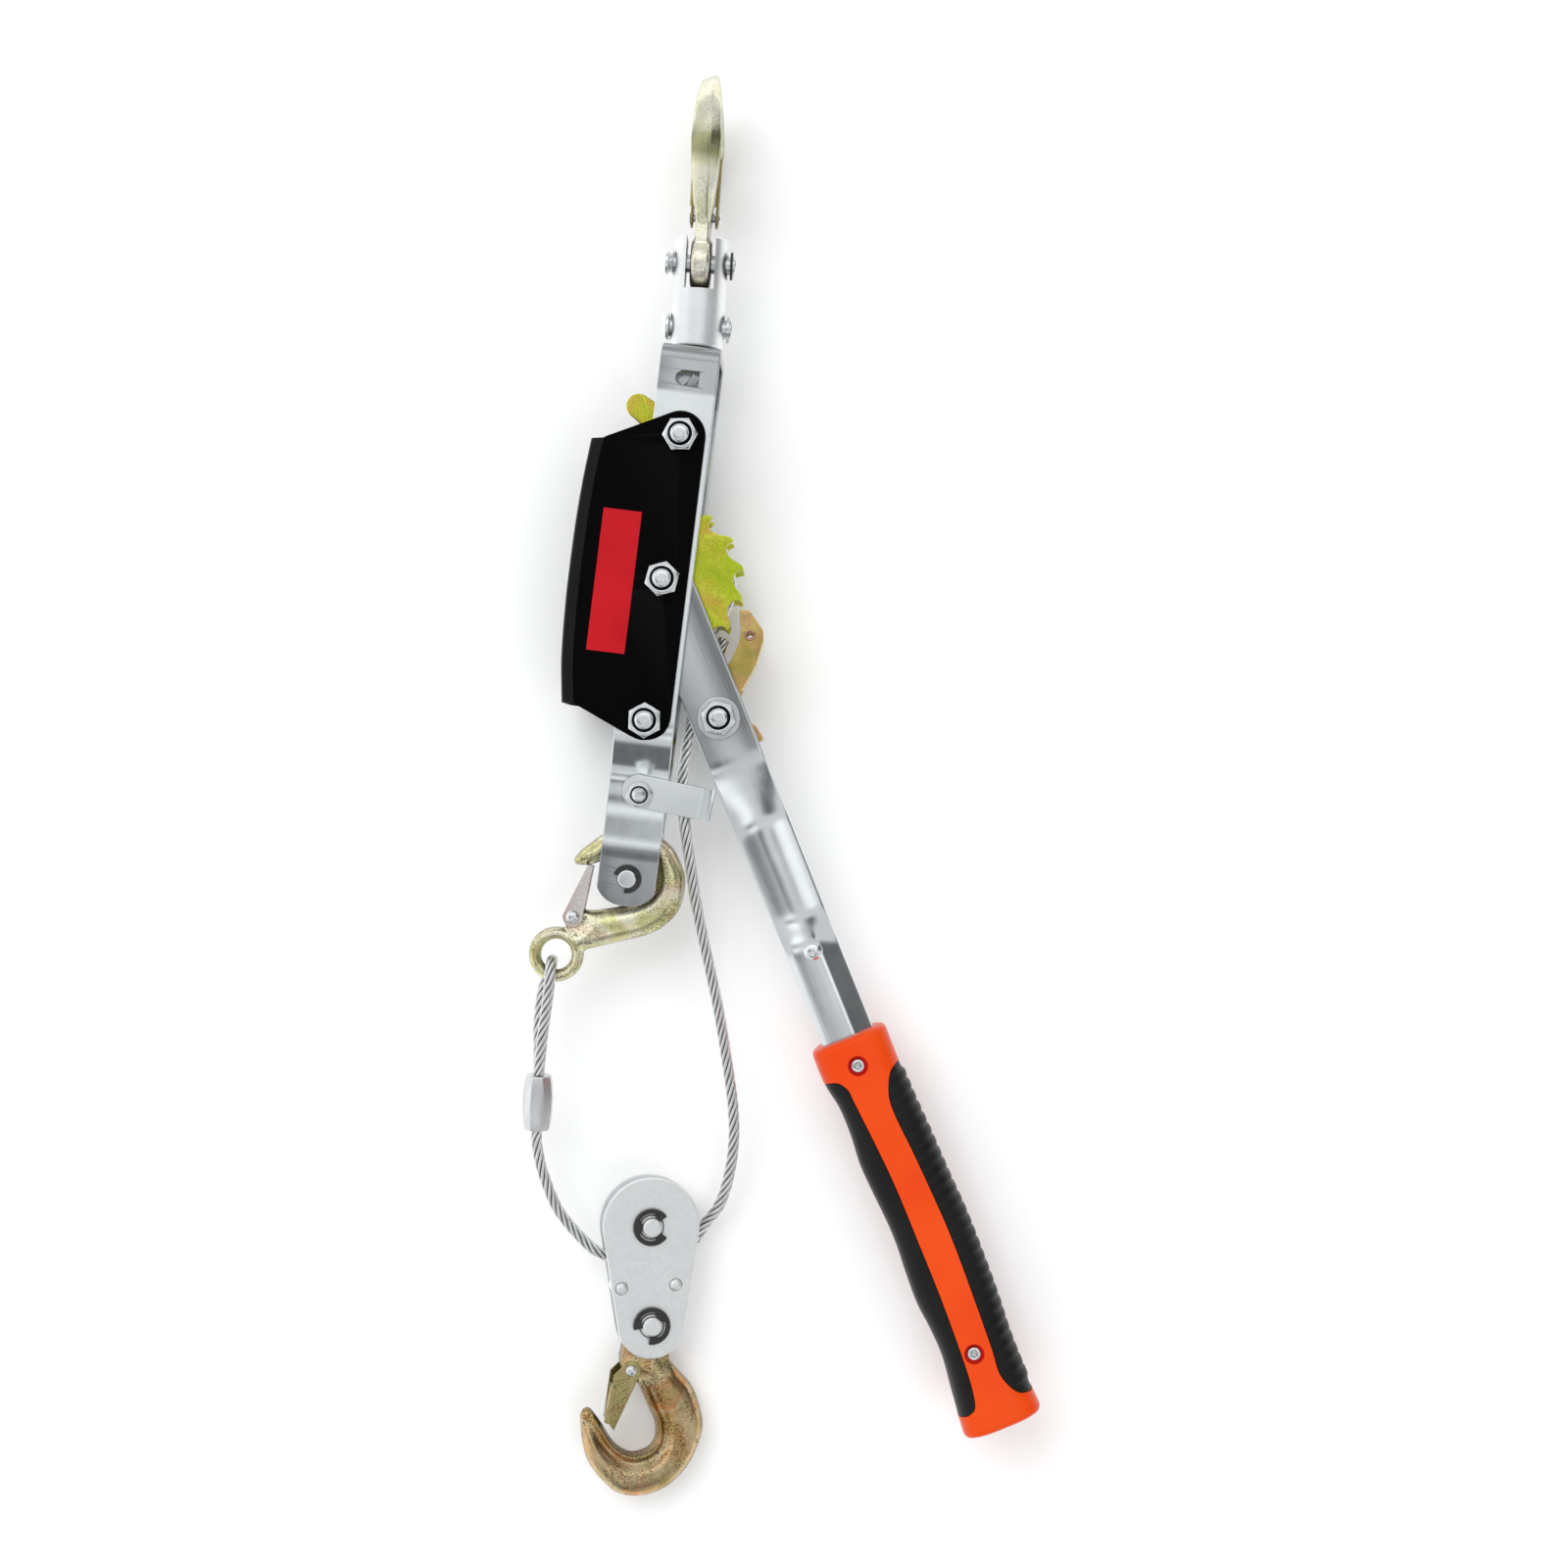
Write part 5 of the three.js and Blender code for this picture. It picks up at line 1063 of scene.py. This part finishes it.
def distance(P, line):
    """Distance of each 2-D point to a polyline."""
    best = np.full(len(P), 1e9)
    L = np.array(line, float)
    for a, b in zip(L, L[1:]):
        ab = b - a
        t = np.clip(((P - a) @ ab) / max(1e-9, ab @ ab), 0, 1)
        best = np.minimum(best, np.linalg.norm(P - a - t[:, None] * ab, axis=1))
    return best


def forged(outline, shape, half, voxel=0.75, ridge=None):
    """A slab of the outline, its faces pressed to the height that shape(points) gives. A ridge moves the parting line off the middle."""
    m = local_mesh(slab([outline], -half, half, 0))
    m = scratch(m, [("REMESH", {"mode": "VOXEL", "voxel_size": voxel})])
    co = np.array([v.co for v in m.vertices])
    h = shape(co[:, :2])
    if ridge:
        lo, hi = ridge(co[:, :2])
        co[:, 2] = np.clip(co[:, 2], np.maximum(-h, lo), np.minimum(h, hi))
    else:
        co[:, 2] = np.sign(co[:, 2]) * np.minimum(np.abs(co[:, 2]), h)
    m.vertices.foreach_set("co", co.astype(np.float32).reshape(-1))
    return m


def joined(parts, voxel, smooth=6, cutters=()):
    """Parts melted into one skin, in millimetres."""
    m = local_mesh(merge(*parts))
    m = scratch(m, [("REMESH", {"mode": "VOXEL", "voxel_size": voxel}), ("SMOOTH", {"factor": 0.5, "iterations": smooth})])
    for c in cutters:
        m = boolean(m, local_mesh(c))
    return m


def forged_hook(node, sx, sy, eye_half, body_half, place, body, mat, leaf=False):
    k = lambda l: [(x * sx, y * sy) for x, y in l]
    o3 = [tuple(p[:2]) for p in catmull([(x, y, 0) for x, y in k(OUTER)], 8)]
    i3 = [tuple(p[:2]) for p in catmull([(x, y, 0) for x, y in k(INNER)], 8)]
    outline = o3 + i3 + k([(-6.5, -24), (-9.5, -24), (-12.4, -20), (-12.8, -14), (-11, -8)])
    H = body_half

    def shape(P):
        do, di = distance(P, o3), distance(P, i3)
        outer = np.sqrt(np.clip(1 - (1 - np.clip(do / 7.5, 0, 1)) ** 2, 0, 1))
        rail = 0.52 + 0.30 * np.exp(-(((di - 1.7) / 1.2) ** 2))
        rise = np.clip((di - 3.8) / 5.0, 0, 1)
        rise = rise * rise * (3 - 2 * rise)
        g = np.maximum(rail, 0.52 + 0.48 * rise)
        edge = np.sqrt(np.clip(di / 1.1, 0.12, 1))
        near_eye = np.clip((-P[:, 1] / sy - 14) / 9, 0, 1)
        g = g * near_eye + (eye_half / H) * (1 - near_eye)
        if leaf:
            outer = np.ones(len(P))
            g = g * np.interp(-P[:, 1], [20, 30, 40, 50, 60, 70, 78, 83], [0.64, 0.76, 0.91, 0.97, 0.91, 0.78, 0.58, 0.42])
        outer = outer * near_eye + np.maximum(outer, 0.9) * (1 - near_eye)
        return H * np.maximum(0.10, outer * g * edge)

    def ridge(P):
        do = distance(P, o3)
        s = lambda t: np.sin(np.clip(t, 0, 1) * math.pi / 2) ** 0.9
        return 1.6 - 9.0 * s(do / 5.5), 1.6 + 6.0 * s(do / 5.0)

    bodym = forged(outline, shape, H, 0.7, ridge if leaf else None)
    eye = turn(soften([(0, -eye_half), (11.5, -eye_half), (11.5, eye_half), (0, eye_half)], 3.0 if leaf else 1.8, 5), 64)
    neck = slab([k([(8.4, 2), (8.6, -9), (8.3, -15), (9.5, -19), (0, -27), (-6.5, -23.8), (-9.5, -23.8), (-12.2, -20), (-12.6, -14), (-11, -4)])], -eye_half * (0.72 if leaf else 1), eye_half * (0.72 if leaf else 1), 1.2, 3)
    bore = turn([(0, -20), (5.35, -20), (5.35, 20), (0, 20)], 48)
    m = joined([to_part(bodym), eye, neck], 0.5, 3 if leaf else 5, [bore])
    m.transform(Matrix.Scale(MM, 4) @ place)
    finish_mesh(node + "_fine", m, body, mat, (node,), 0, False)
    lx, ly, e = LX * sx, LY * sy, eye_half
    riv = turn(soften([(0, -e - 2.9), (1.7, -e - 2.8), (2.7, -e - 1.7), (1.6, -e - 1.6), (1.6, e + 1.6), (2.7, e + 1.7), (1.7, e + 2.8), (0, e + 2.9)], 0.5, 3), 32)
    finish_mesh(node + "_latch_rivet", raw(*riv, place @ T((lx, ly, 0))), body, M_NUT, (), 60)


def sheet_latch(node, sx, sy, eye_half, place, body, mat, side=1):
    """Folded strip: two tapered legs with round ears, joined along one edge."""
    lx, ly, a = LX * sx, LY * sy, eye_half + 0.45
    b = a + 1.1
    k = lambda l: [(x * sx, y * sy) for x, y in l]
    leg = k([(-16.2, -21.3), (-19.2, -41), (-16.2, -45.2), (-4.6, -21.2)]) + arc(lx, ly, 4.1, -10, 150, 28)
    leg = leg[::-1]
    hole = circle(lx, ly, 2.1, 24)
    web = k([(-16.3, -26), (-19.3, -41), (-18.0, -41.5), (-15.2, -26.4)])
    parts = merge(slab([leg, hole], a, b, 0.28, 2), slab([leg, hole], -b, -a, 0.28, 2), slab([web], -b + 0.1, b - 0.1, 0.35, 2))
    spine = moved(turn(soften([(0, -0.6), (1.35, 0), (1.35, 15.5), (0, 16.1)], 0.5, 3), 24), T((*k([(-16.4, -26.2)])[0], side * (b - 0.15))) @ RZ(math.degrees(math.atan2(-14.8 * sy, -2.6 * sx))) @ Matrix.Rotation(rad(90), 4, "Y"))
    finish_mesh(node + "_fine", raw(*merge(parts, spine), place), body, mat, (node,))


forged_hook("top_hook", 1.03, 1.09, 4.4, 6.6, AUP, "top_hook", M_CREAM, True)
sheet_latch("top_latch", 1.03, 1.09, 4.4, AUP, "top_latch", M_DARK, -1)
forged_hook("block_hook", 1, 1, 4.8, 7, AHANG, "block_hook", M_FORGED)
sheet_latch("block_latch", 1, 1, 4.8, AHANG, "block_latch", M_DARK)

# End hook: rounder section, ring eye.
EO = [(-24.3, -121.6), (-21.4, -117.2), (-17.4, -113.4), (-13.8, -110), (-6, -105.5), (2, -103.8), (8, -105.3), (12.5, -108.4), (17.1, -111.6), (21.7, -118.2), (24.3, -125), (23.3, -137.4), (18.3, -144.7), (12.5, -149.3), (0.1, -154.2), (-13.6, -159.2)]
EI = [(-12.4, -142.2), (-1.8, -139.2), (6.2, -135.4), (11, -130.6), (11.9, -125.4), (10, -120), (5.6, -116), (-0.6, -114.6), (-7.6, -117.8), (-13.6, -121.7), (-18, -123.6), (-23.1, -123.9)]
EYE = (-26.7, -163.05)
eo = [tuple(p[:2]) for p in catmull([(x, y, 0) for x, y in EO], 8)]
ei = [tuple(p[:2]) for p in catmull([(x, y, 0) for x, y in EI], 8)]
outline = eo + [(-22, -166), (-23.6, -153)] + arc(-21.4, -146.1, 3.8, 190, 60, 12) + ei


def end_shape(P):
    d = np.minimum(distance(P, eo + [(-22, -166)]), distance(P, [(-23.6, -153)] + arc(-21.4, -146.1, 3.8, 190, 60, 12) + ei))
    h = 6.4 * np.sqrt(np.clip(1 - (1 - np.clip(d / 6.4, 0, 1)) ** 2, 0, 1))
    ear = np.clip((np.hypot(P[:, 0] + 21.4, P[:, 1] + 146.1) - 5.5) / 5, 0, 1)
    lower = 4.3 + (6.4 - 4.3) * ear
    return np.maximum(0.6, np.minimum(h, lower))


m = forged(outline, end_shape, 6.4, 0.65)
keep_body = to_part(boolean(m, local_mesh(moved(turn([(0, -20), (9.0, -20), (9.0, 20), (0, 20)], 64), T((*EYE, 0))))))
ringp = [(9.15 + 2.7 * math.cos(rad(a)), 4.1 * math.sin(rad(a))) for a in range(0, 360, 15)]
ear = turn(soften([(0, -4.2), (4.0, -4.2), (4.0, 4.2), (0, 4.2)], 0.6, 3), 40)
m = joined([keep_body, moved(turn(ringp, 72, True), T((*EYE, 0))), moved(ear, T((-21.4, -146.1, 0)))], 0.5, 8)
m.transform(Matrix.Scale(MM, 4) @ AMID)
finish_mesh("end_hook_fine", m, "frame", M_GREEN, ("end_hook",), 0, False)
riv = turn(soften([(0, -7.4), (2.0, -7.1), (3.15, -5.75), (1.6, -5.7), (1.6, 5.7), (3.15, 5.75), (2.0, 7.1), (0, 7.4)], 0.7, 4), 40)
finish_mesh("end_hook_latch_rivet", raw(*riv, AMID @ T((-21.4, -146.1, 0))), "frame", M_NUT, (), 60)
leg = arc(-21.4, -146.1, 4.3, -190, 10, 36) + [(-15.4, -123.5), (-17.8, -123.3)]
hole = circle(-21.4, -146.1, 2, 24)
webl = [(-22.9, -139), (-18.2, -124.6), (-16.9, -124.8), (-21.5, -139.2)]
parts = merge(slab([leg, hole], 4.6, 5.6, 0.25, 2), slab([leg, hole], -5.6, -4.6, 0.25, 2), slab([webl], -5.2, 5.2, 0.25, 2))
finish_mesh("end_latch_fine", raw(*parts, AMID), "end_latch", M_BLUSH, ("end_latch",))

# ------------------------------------------------------------ swivel head
prof = soften([(0, 1.5), (10.7, 1.5), (11.5, 2.3), (11.5, 48), (10.5, 49), (0, 49)], 0.5, 3)
AXY = Matrix.Rotation(rad(-90), 4, "X")  # w axis onto +y
cyl = local_mesh(moved(turn(prof, 96), AXY))
for c in (
    slab([[(-6.25, 26.2), (6.25, 26.2), (6.25, 70), (-6.25, 70)]], -20, 20, 0),
    moved(turn([(0, -5), (5.35, -5), (5.35, 20), (0, 20)], 48), AXY),
    moved(turn([(0, -20), (4.35, -20), (4.35, 20), (0, 20)], 48), T((0, 10.8, 0)) @ TURN_X),
    moved(turn([(0, -20), (4.35, -20), (4.35, 20), (0, 20)], 48), T((0, 38.1, 0)) @ TURN_X),
):
    cyl = boolean(cyl, local_mesh(c))
bm = bmesh.new()
bm.from_mesh(cyl)
bmesh.ops.remove_doubles(bm, verts=bm.verts, dist=1e-3)
edges = [e for e in bm.edges if e.is_manifold and e.calc_face_angle(0) > rad(40)]
bmesh.ops.bevel(bm, geom=edges, offset=0.35, offset_type="OFFSET", segments=2, profile=0.5, clamp_overlap=True, affect="EDGES")
bm.to_mesh(cyl)
bm.free()
cyl.transform(Matrix.Scale(MM, 4) @ AHEAD)
finish_mesh("swivel_head_fine", cyl, "head", M_HEAD, ("swivel_head",))
V, F = moved(turn(soften([(0, -8.4), (8, -8.4), (9, -7.6), (9, -5.1), (5, -5.1), (5, 18.6), (4.4, 19.2), (0, 19.2)], 0.4, 2), 48), AXY)
finish_mesh("swivel_stud_fine", raw(V, F, AHEAD), "head", M_ZINC, ("swivel_stud",))
pin = turn(soften([(0, -15.2), (4.2, -15), (5.75, -13.4), (5.75, -12), (4, -12), (4, 14.6), (3.4, 15.2), (0, 15.2)], 0.5, 3), 48)
finish_mesh("cross_pin_fine", raw(*pin, AHEAD @ T((0, 10.8, 0)) @ TURN_X), "head", M_NUT, ("cross_pin",))
eclip("cross_pin_eclip", 4.15, 6, 0, 1.1, 0, 0, 250, 90, 0.3, AHEAD @ T((12.6, 10.8, 0)) @ TURN_X, "head", M_ZINC)
pin = turn(soften([(0, -15.2), (5.2, -15.2), (5.2, -13.9), (4, -13.4), (4, -12.6), (5.2, -12.2), (5.2, -11.9), (4, -11.9), (4, 14.6), (3.4, 15.2), (0, 15.2)], 0.35, 3), 48)
finish_mesh("hook_pivot_pin_fine", raw(*pin, AHEAD @ T((0, 38.1, 0)) @ TURN_X), "head", M_NUT, ("hook_pivot_pin",))
eclip("hook_pivot_eclip", 4.15, 6, 0, 1.1, 0, 0, 70, 90, 0.3, AHEAD @ T((12.6, 38.1, 0)) @ TURN_X, "head", M_CLIP)

# ------------------------------------------------------------ pulley block
P = -42.7
rivets = [(-13, -26.3), (10.6, -25.4)]
egg = hull2(0, 0, 21.1, 0, P, 14.5, 60)
holes = [circle(0, 0, 5.2, 40), circle(0, P, 5.2, 40)] + [circle(x, y, 2.62, 24) for x, y in rivets]
finish_mesh("block_plate_front_fine", raw(*slab([egg, *holes], 5.5, 8.3, 0.55, 3), ABLOCK), "block", M_GALV, ("block_plate_front",))
finish_mesh("block_plate_rear_fine", raw(*slab([egg, *holes], -8.3, -5.5, 0.55, 3), ABLOCK), "block", M_GALV, ("block_plate_rear",))
for node, y in (("sheave_pin", 0), ("block_hook_pin", P)):
    prof = soften([(0, -11.6), (6.4, -11.6), (7, -11), (7, -8.6), (5, -8.6), (5, 8.5), (4.1, 8.5), (4.1, 11), (3.5, 11.6), (0, 11.6)], 0.35, 3)
    finish_mesh(node + "_fine", raw(*turn(prof, 48), ABLOCK @ T((0, y, 0))), "block", M_GALV, (node,))
eclip("sheave_pin_eclip", 4.2, 8, 8.8, 9.9, 0, 0, 0, 70, 1.9, ABLOCK, "block", M_CLIP)
eclip("block_hook_pin_eclip", 4.2, 8, 8.8, 9.9, 0, P, 225, 70, 1.9, ABLOCK, "block", M_CLIP)
for node, (x, y) in zip(("block_rivet_left", "block_rivet_right"), rivets):
    prof = soften([(0, -9.1), (1.4, -8.95), (2.6, -8.2), (2.6, -5.2), (4, -5.2), (4, 5.2), (2.6, 5.2), (2.6, 8.2), (1.4, 8.95), (0, 9.1)], 0.3, 3)
    finish_mesh(node + "_fine", raw(*turn(prof, 40), ABLOCK @ T((x, y, 0))), "block", M_GALV, (node,))
groove = [(5.25, -4.8), (17.6, -4.8), (18.4, -4.3)] + [(18.2 - 4.9 * math.cos(rad(a)), 4.2 * math.sin(rad(a))) for a in range(-72, 73, 12)] + [(18.4, 4.3), (17.6, 4.8), (5.25, 4.8)]
finish_mesh("sheave_fine", raw(*turn(groove, 72, True), ABLOCK), "sheave", M_ZINC, ("sheave",), 50)

# ------------------------------------------------------------ grip
LEFT = [(-17, -208), (-17, -224), (-15, -235.8), (-14.9, -248.7), (-15.9, -261.5), (-15.4, -273.5), (-14.4, -288.3), (-14.3, -299.1), (-15.1, -311.6), (-15.5, -325.8), (-14.3, -338.4), (-14, -350.2), (-15.7, -365), (-17, -376.5), (-18, -387)]
RIGHT = [(16.8, -208), (16.5, -226), (16.7, -243), (17.3, -257.6), (17.9, -279), (18.6, -296.4), (18.4, -316), (17.8, -334), (16.6, -352), (16.5, -366.4), (16.9, -377), (17.6, -387)]


def along(points):
    c = catmull([(x, y, 0) for x, y in points], 12)
    ys, xs = [-p[1] for p in c], [p[0] for p in c]
    return lambda y: float(np.interp(-y, ys, xs))


left_at, right_at = along(LEFT), along(RIGHT)


def grip_loft(shrink=0.0, ribs=0.0, top=-208.5, end=-387.0, n=96):
    """Squared oval section that follows both outlines; ribs raise the right side."""
    V, F, rows = [], [], []
    ys = list(np.arange(top, end, -0.75)) + [end]
    R = 3.0
    for y in ys:
        l, r = left_at(y) + shrink, right_at(y) - shrink
        cut = 0.0
        for d in (top - y, y - end):
            if d < R:
                cut = max(cut, R - math.sqrt(max(0.0, R * R - (R - d) ** 2)))
        a, b, cx = (r - l) / 2 - cut, 15 - shrink - cut, (l + r) / 2
        rows.append(len(V))
        phase = (y + 229.0) / 5.3
        f = abs((phase % 1) - 0.5) * 2
        rib = ribs * (1 - f ** 3) * min(1.0, max(0.0, (-229 - y) / 2.0)) * min(1.0, max(0.0, (y + 373.5) / 2.0))
        for i in range(n):
            t = 2 * math.pi * i / n
            c, s = math.cos(t), math.sin(t)
            e = 2 / 3.0
            x = cx + a * math.copysign(abs(c) ** e, c)
            w = b * math.copysign(abs(s) ** e, s)
            side = max(0.0, c) ** 0.5
            V.append((x + rib * side * max(0.0, c), y, w + rib * 0.6 * side * s))
    for p, q in zip(rows, rows[1:]):
        F += [(p + i, p + (i + 1) % n, q + (i + 1) % n, q + i) for i in range(n)]
    F += [tuple(range(n))[::-1], tuple(rows[-1] + i for i in range(n))]
    return V, F


PAD_L = [(-30, -223.7), (-17, -223.7), (-11.5, -224.8), (-8.6, -228.9), (-8.1, -234.4), (-5.4, -270.8), (-5.1, -300), (-5.3, -332.6), (-7.4, -367.1), (-9.5, -374.3), (-13, -376.2), (-30, -376.6)]
PAD_R = [(30, -226), (16.2, -226), (12, -228), (8.6, -233.4), (6.5, -240.3), (7.6, -263.1), (7.9, -269), (9.1, -300.4), (8.3, -331.6), (7.3, -353.3), (6.6, -365.1), (10.7, -374.3), (16, -376.9), (30, -377)]


def plan(points, grow, x_far):
    c = [tuple(p[:2]) for p in catmull([(x, y, 0) for x, y in points[1:-1]], 8)]
    pts = [(x_far, c[0][1]), *c, (x_far, c[-1][1])]
    pts = [tuple(p) for p in pts]
    if area(pts) < 0:
        pts = pts[::-1]
    return inset(pts, -grow) if grow else pts


bodym = local_mesh(grip_loft())
for pts, far in ((PAD_L, -30), (PAD_R, 30)):
    bodym = boolean(bodym, local_mesh(slab([plan(pts, 0.3, far)], -30, 30, 0)))
for y in (-220.9, -352.4):
    for a, b in ((12.2, 30), (-30, -12.2)):
        bodym = boolean(bodym, local_mesh(moved(turn([(0, a), (4.3, a), (4.3, b), (0, b)], 40), T((-0.6, y, 0)))))
bodym.transform(Matrix.Scale(MM, 4) @ ALEVER)
grip = finish_mesh("grip_body_fine", bodym, "lever", M_ORANGE, ("grip_body",), 42)
core = local_mesh(grip_loft(2.6, 0, -209.5, -386))
core.transform(Matrix.Scale(MM, 4) @ ALEVER)
finish_mesh("grip_core", core, "lever", M_PAD, (), 42)
for node, pts, far, ribs in (("grip_pad_left", PAD_L, -30, 0.0), ("grip_pad_right", PAD_R, 30, 1.15)):
    m = boolean(local_mesh(grip_loft(0.15, ribs)), local_mesh(slab([plan(pts, 0, far)], -30, 30, 0)), "INTERSECT")
    m.transform(Matrix.Scale(MM, 4) @ ALEVER)
    finish_mesh(node + "_fine", m, "lever", M_PAD, (node,), 42)
for node, y in (("grip_screw_top", -220.9), ("grip_screw_bottom", -352.4)):
    socket = [(0, 12.8), (1.35, 12.9), (1.5, 14.1), (1.75, 14.3), (2.6, 14.2), (3.0, 13.7), (3.0, 12.2), (2.2, 12.2), (2.2, -12.2), (3.0, -12.2), (3.0, -13.7), (2.6, -14.2), (1.75, -14.3), (0, -14.3)]
    # A darker red ring at the bottom of each screw hole: painted shade in the hole.
    hole_painted_shade = merge(turn([(2.3, 12.3), (4.6, 12.3), (4.6, 12.7), (2.3, 12.7)], 40, True), turn([(2.3, -12.7), (4.6, -12.7), (4.6, -12.3), (2.3, -12.3)], 40, True))
    finish_mesh(node + "_hole_painted_shade", raw(*hole_painted_shade, ALEVER @ T((-0.6, y, 0))), "lever", M_HOLE_PAINTED_SHADE, (), 45)
    V, F = turn(soften(socket, 0.25, 2), 48)
    finish_mesh(node + "_fine", raw(V, F, ALEVER @ T((-0.6, y, 0))), "lever", M_NUT, (node,), 45)

# ------------------------------------------------------------ floor and light
floor_mesh = bpy.data.meshes.new("floor")
floor_mesh.from_pydata([(-6, -6, 0), (6, -6, 0), (6, 6, 0), (-6, 6, 0)], [], [(0, 1, 2, 3)])
floor = bpy.data.objects.new("floor", floor_mesh)
bpy.context.scene.collection.objects.link(floor)
n = Net("floor_pale")
n.p.inputs["Emission Color"].default_value = (1, 1, 1, 1)
n.p.inputs["Emission Strength"].default_value = 0.10
floor_mesh.materials.append(n.done((0.93, 0.93, 0.93), 0.9, 0.0, specular=0.1))

# Sky drawn over (right, up) angles from the zenith, in degrees: soft boxes and dark flags round the camera.
world = bpy.data.worlds.new("studio")
bpy.context.scene.world = world
world.use_nodes = True
wt = world.node_tree
wt.nodes.clear()
wo = wt.nodes.new("ShaderNodeOutputWorld")
bg = wt.nodes.new("ShaderNodeBackground")
wt.links.new(bg.outputs[0], wo.inputs[0])


def wn(kind, **k):
    x = wt.nodes.new(kind)
    for a, b in k.items():
        setattr(x, a, b)
    return x


tc = wn("ShaderNodeTexCoord")
sep = wn("ShaderNodeSeparateXYZ")
wt.links.new(tc.outputs["Generated"], sep.inputs[0])
ac = wn("ShaderNodeMath", operation="ARCCOSINE", use_clamp=False)
wt.links.new(sep.outputs[2], ac.inputs[0])
degs = wn("ShaderNodeMath", operation="MULTIPLY")
degs.inputs[1].default_value = 180 / math.pi
wt.links.new(ac.outputs[0], degs.inputs[0])
flat = wn("ShaderNodeCombineXYZ")
wt.links.new(sep.outputs[0], flat.inputs[0])
wt.links.new(sep.outputs[1], flat.inputs[1])
unit = wn("ShaderNodeVectorMath", operation="NORMALIZE")
wt.links.new(flat.outputs[0], unit.inputs[0])
sky = wn("ShaderNodeVectorMath", operation="SCALE")
wt.links.new(unit.outputs[0], sky.inputs[0])
wt.links.new(degs.outputs[0], sky.inputs["Scale"])
level = None
SKY = [  # centre, radii, how hard the rim is, value
    ((0, 0), (200, 200), 1.0, 0.66),
    ((-8, 30), (60, 26), 0.35, 1.15),
    ((-5, 4.5), (8, 6.5), 0.5, 0.95),
    ((4.6, 5.8), (6.6, 5.2), 0.4, 0.14),
    ((17, 7), (11, 9), 0.4, 1.1),
    ((44, 18), (18, 24), 0.4, 0.12),
    ((0, -64), (36, 17), 0.4, 0.14),
    ((-6, -13.5), (9, 5), 0.4, 1.05),
    ((-4, -22.5), (7, 4), 0.4, 0.32),
    ((5, -31.5), (11, 6.5), 0.4, 1.2),
    ((24, -22), (9, 9), 0.4, 0.08),
    ((26, -41), (17, 13), 0.4, 0.05),
    ((-21, -8), (16, 10), 0.35, 0.14),
    ((84, 40), (40, 52), 0.5, 0.08),
    ((-78, -30), (34, 60), 0.5, 1.0),
    ((-52, 14), (22, 28), 0.4, 1.15),
    ((-5.0, -4.8), (5.6, 3.8), 0.5, 0.06),
]
for (u, v), (ru, rv), hard, value in SKY:
    sub = wn("ShaderNodeVectorMath", operation="SUBTRACT")
    sub.inputs[1].default_value = (u, v, 0)
    wt.links.new(sky.outputs[0], sub.inputs[0])
    div = wn("ShaderNodeVectorMath", operation="DIVIDE")
    div.inputs[1].default_value = (ru, rv, 1)
    wt.links.new(sub.outputs[0], div.inputs[0])
    far = wn("ShaderNodeVectorMath", operation="LENGTH")
    wt.links.new(div.outputs[0], far.inputs[0])
    mr = wn("ShaderNodeMapRange", interpolation_type="SMOOTHSTEP")
    mr.inputs["From Min"].default_value = 1.0
    mr.inputs["From Max"].default_value = hard
    if hard < 1.0:
        wt.links.new(far.outputs["Value"], mr.inputs["Value"])
    if level is None:
        level = wn("ShaderNodeValue").outputs[0]
        level.default_value = value
        continue
    mx = wn("ShaderNodeMix", data_type="FLOAT")
    wt.links.new(mr.outputs[0], mx.inputs[0])
    wt.links.new(level, mx.inputs[2])
    mx.inputs[3].default_value = value
    level = mx.outputs[0]
tone = wn("ShaderNodeMix", data_type="RGBA")
wt.links.new(level, tone.inputs[0])
tone.inputs[6].default_value = (0.0, 0.0, 0.0, 1)
tone.inputs[7].default_value = (0.985, 1.0, 1.01, 1)
tone.clamp_factor = False
wt.links.new(tone.outputs[2], bg.inputs[0])
bg.inputs[1].default_value = 1.0


def lamp(name, at, to, size, power, seen=False):
    d = bpy.data.lights.new(name, "AREA")
    d.shape = "RECTANGLE"
    d.size, d.size_y = size
    d.energy = power
    o = bpy.data.objects.new(name, d)
    bpy.context.scene.collection.objects.link(o)
    o.location = at
    o.rotation_euler = (Vector(to) - Vector(at)).to_track_quat("-Z", "Y").to_euler()
    o.visible_glossy = seen
    return o


lamp("key", (-0.9, 0.9, 1.9), (0, -0.05, 0), (1.6, 1.6), 19)
lamp("fill", (0.9, -1.2, 1.9), (0.05, -0.1, 0), (1.8, 1.8), 14)

print("rope lengths", right_length, left_length, loop_length, winding_length)
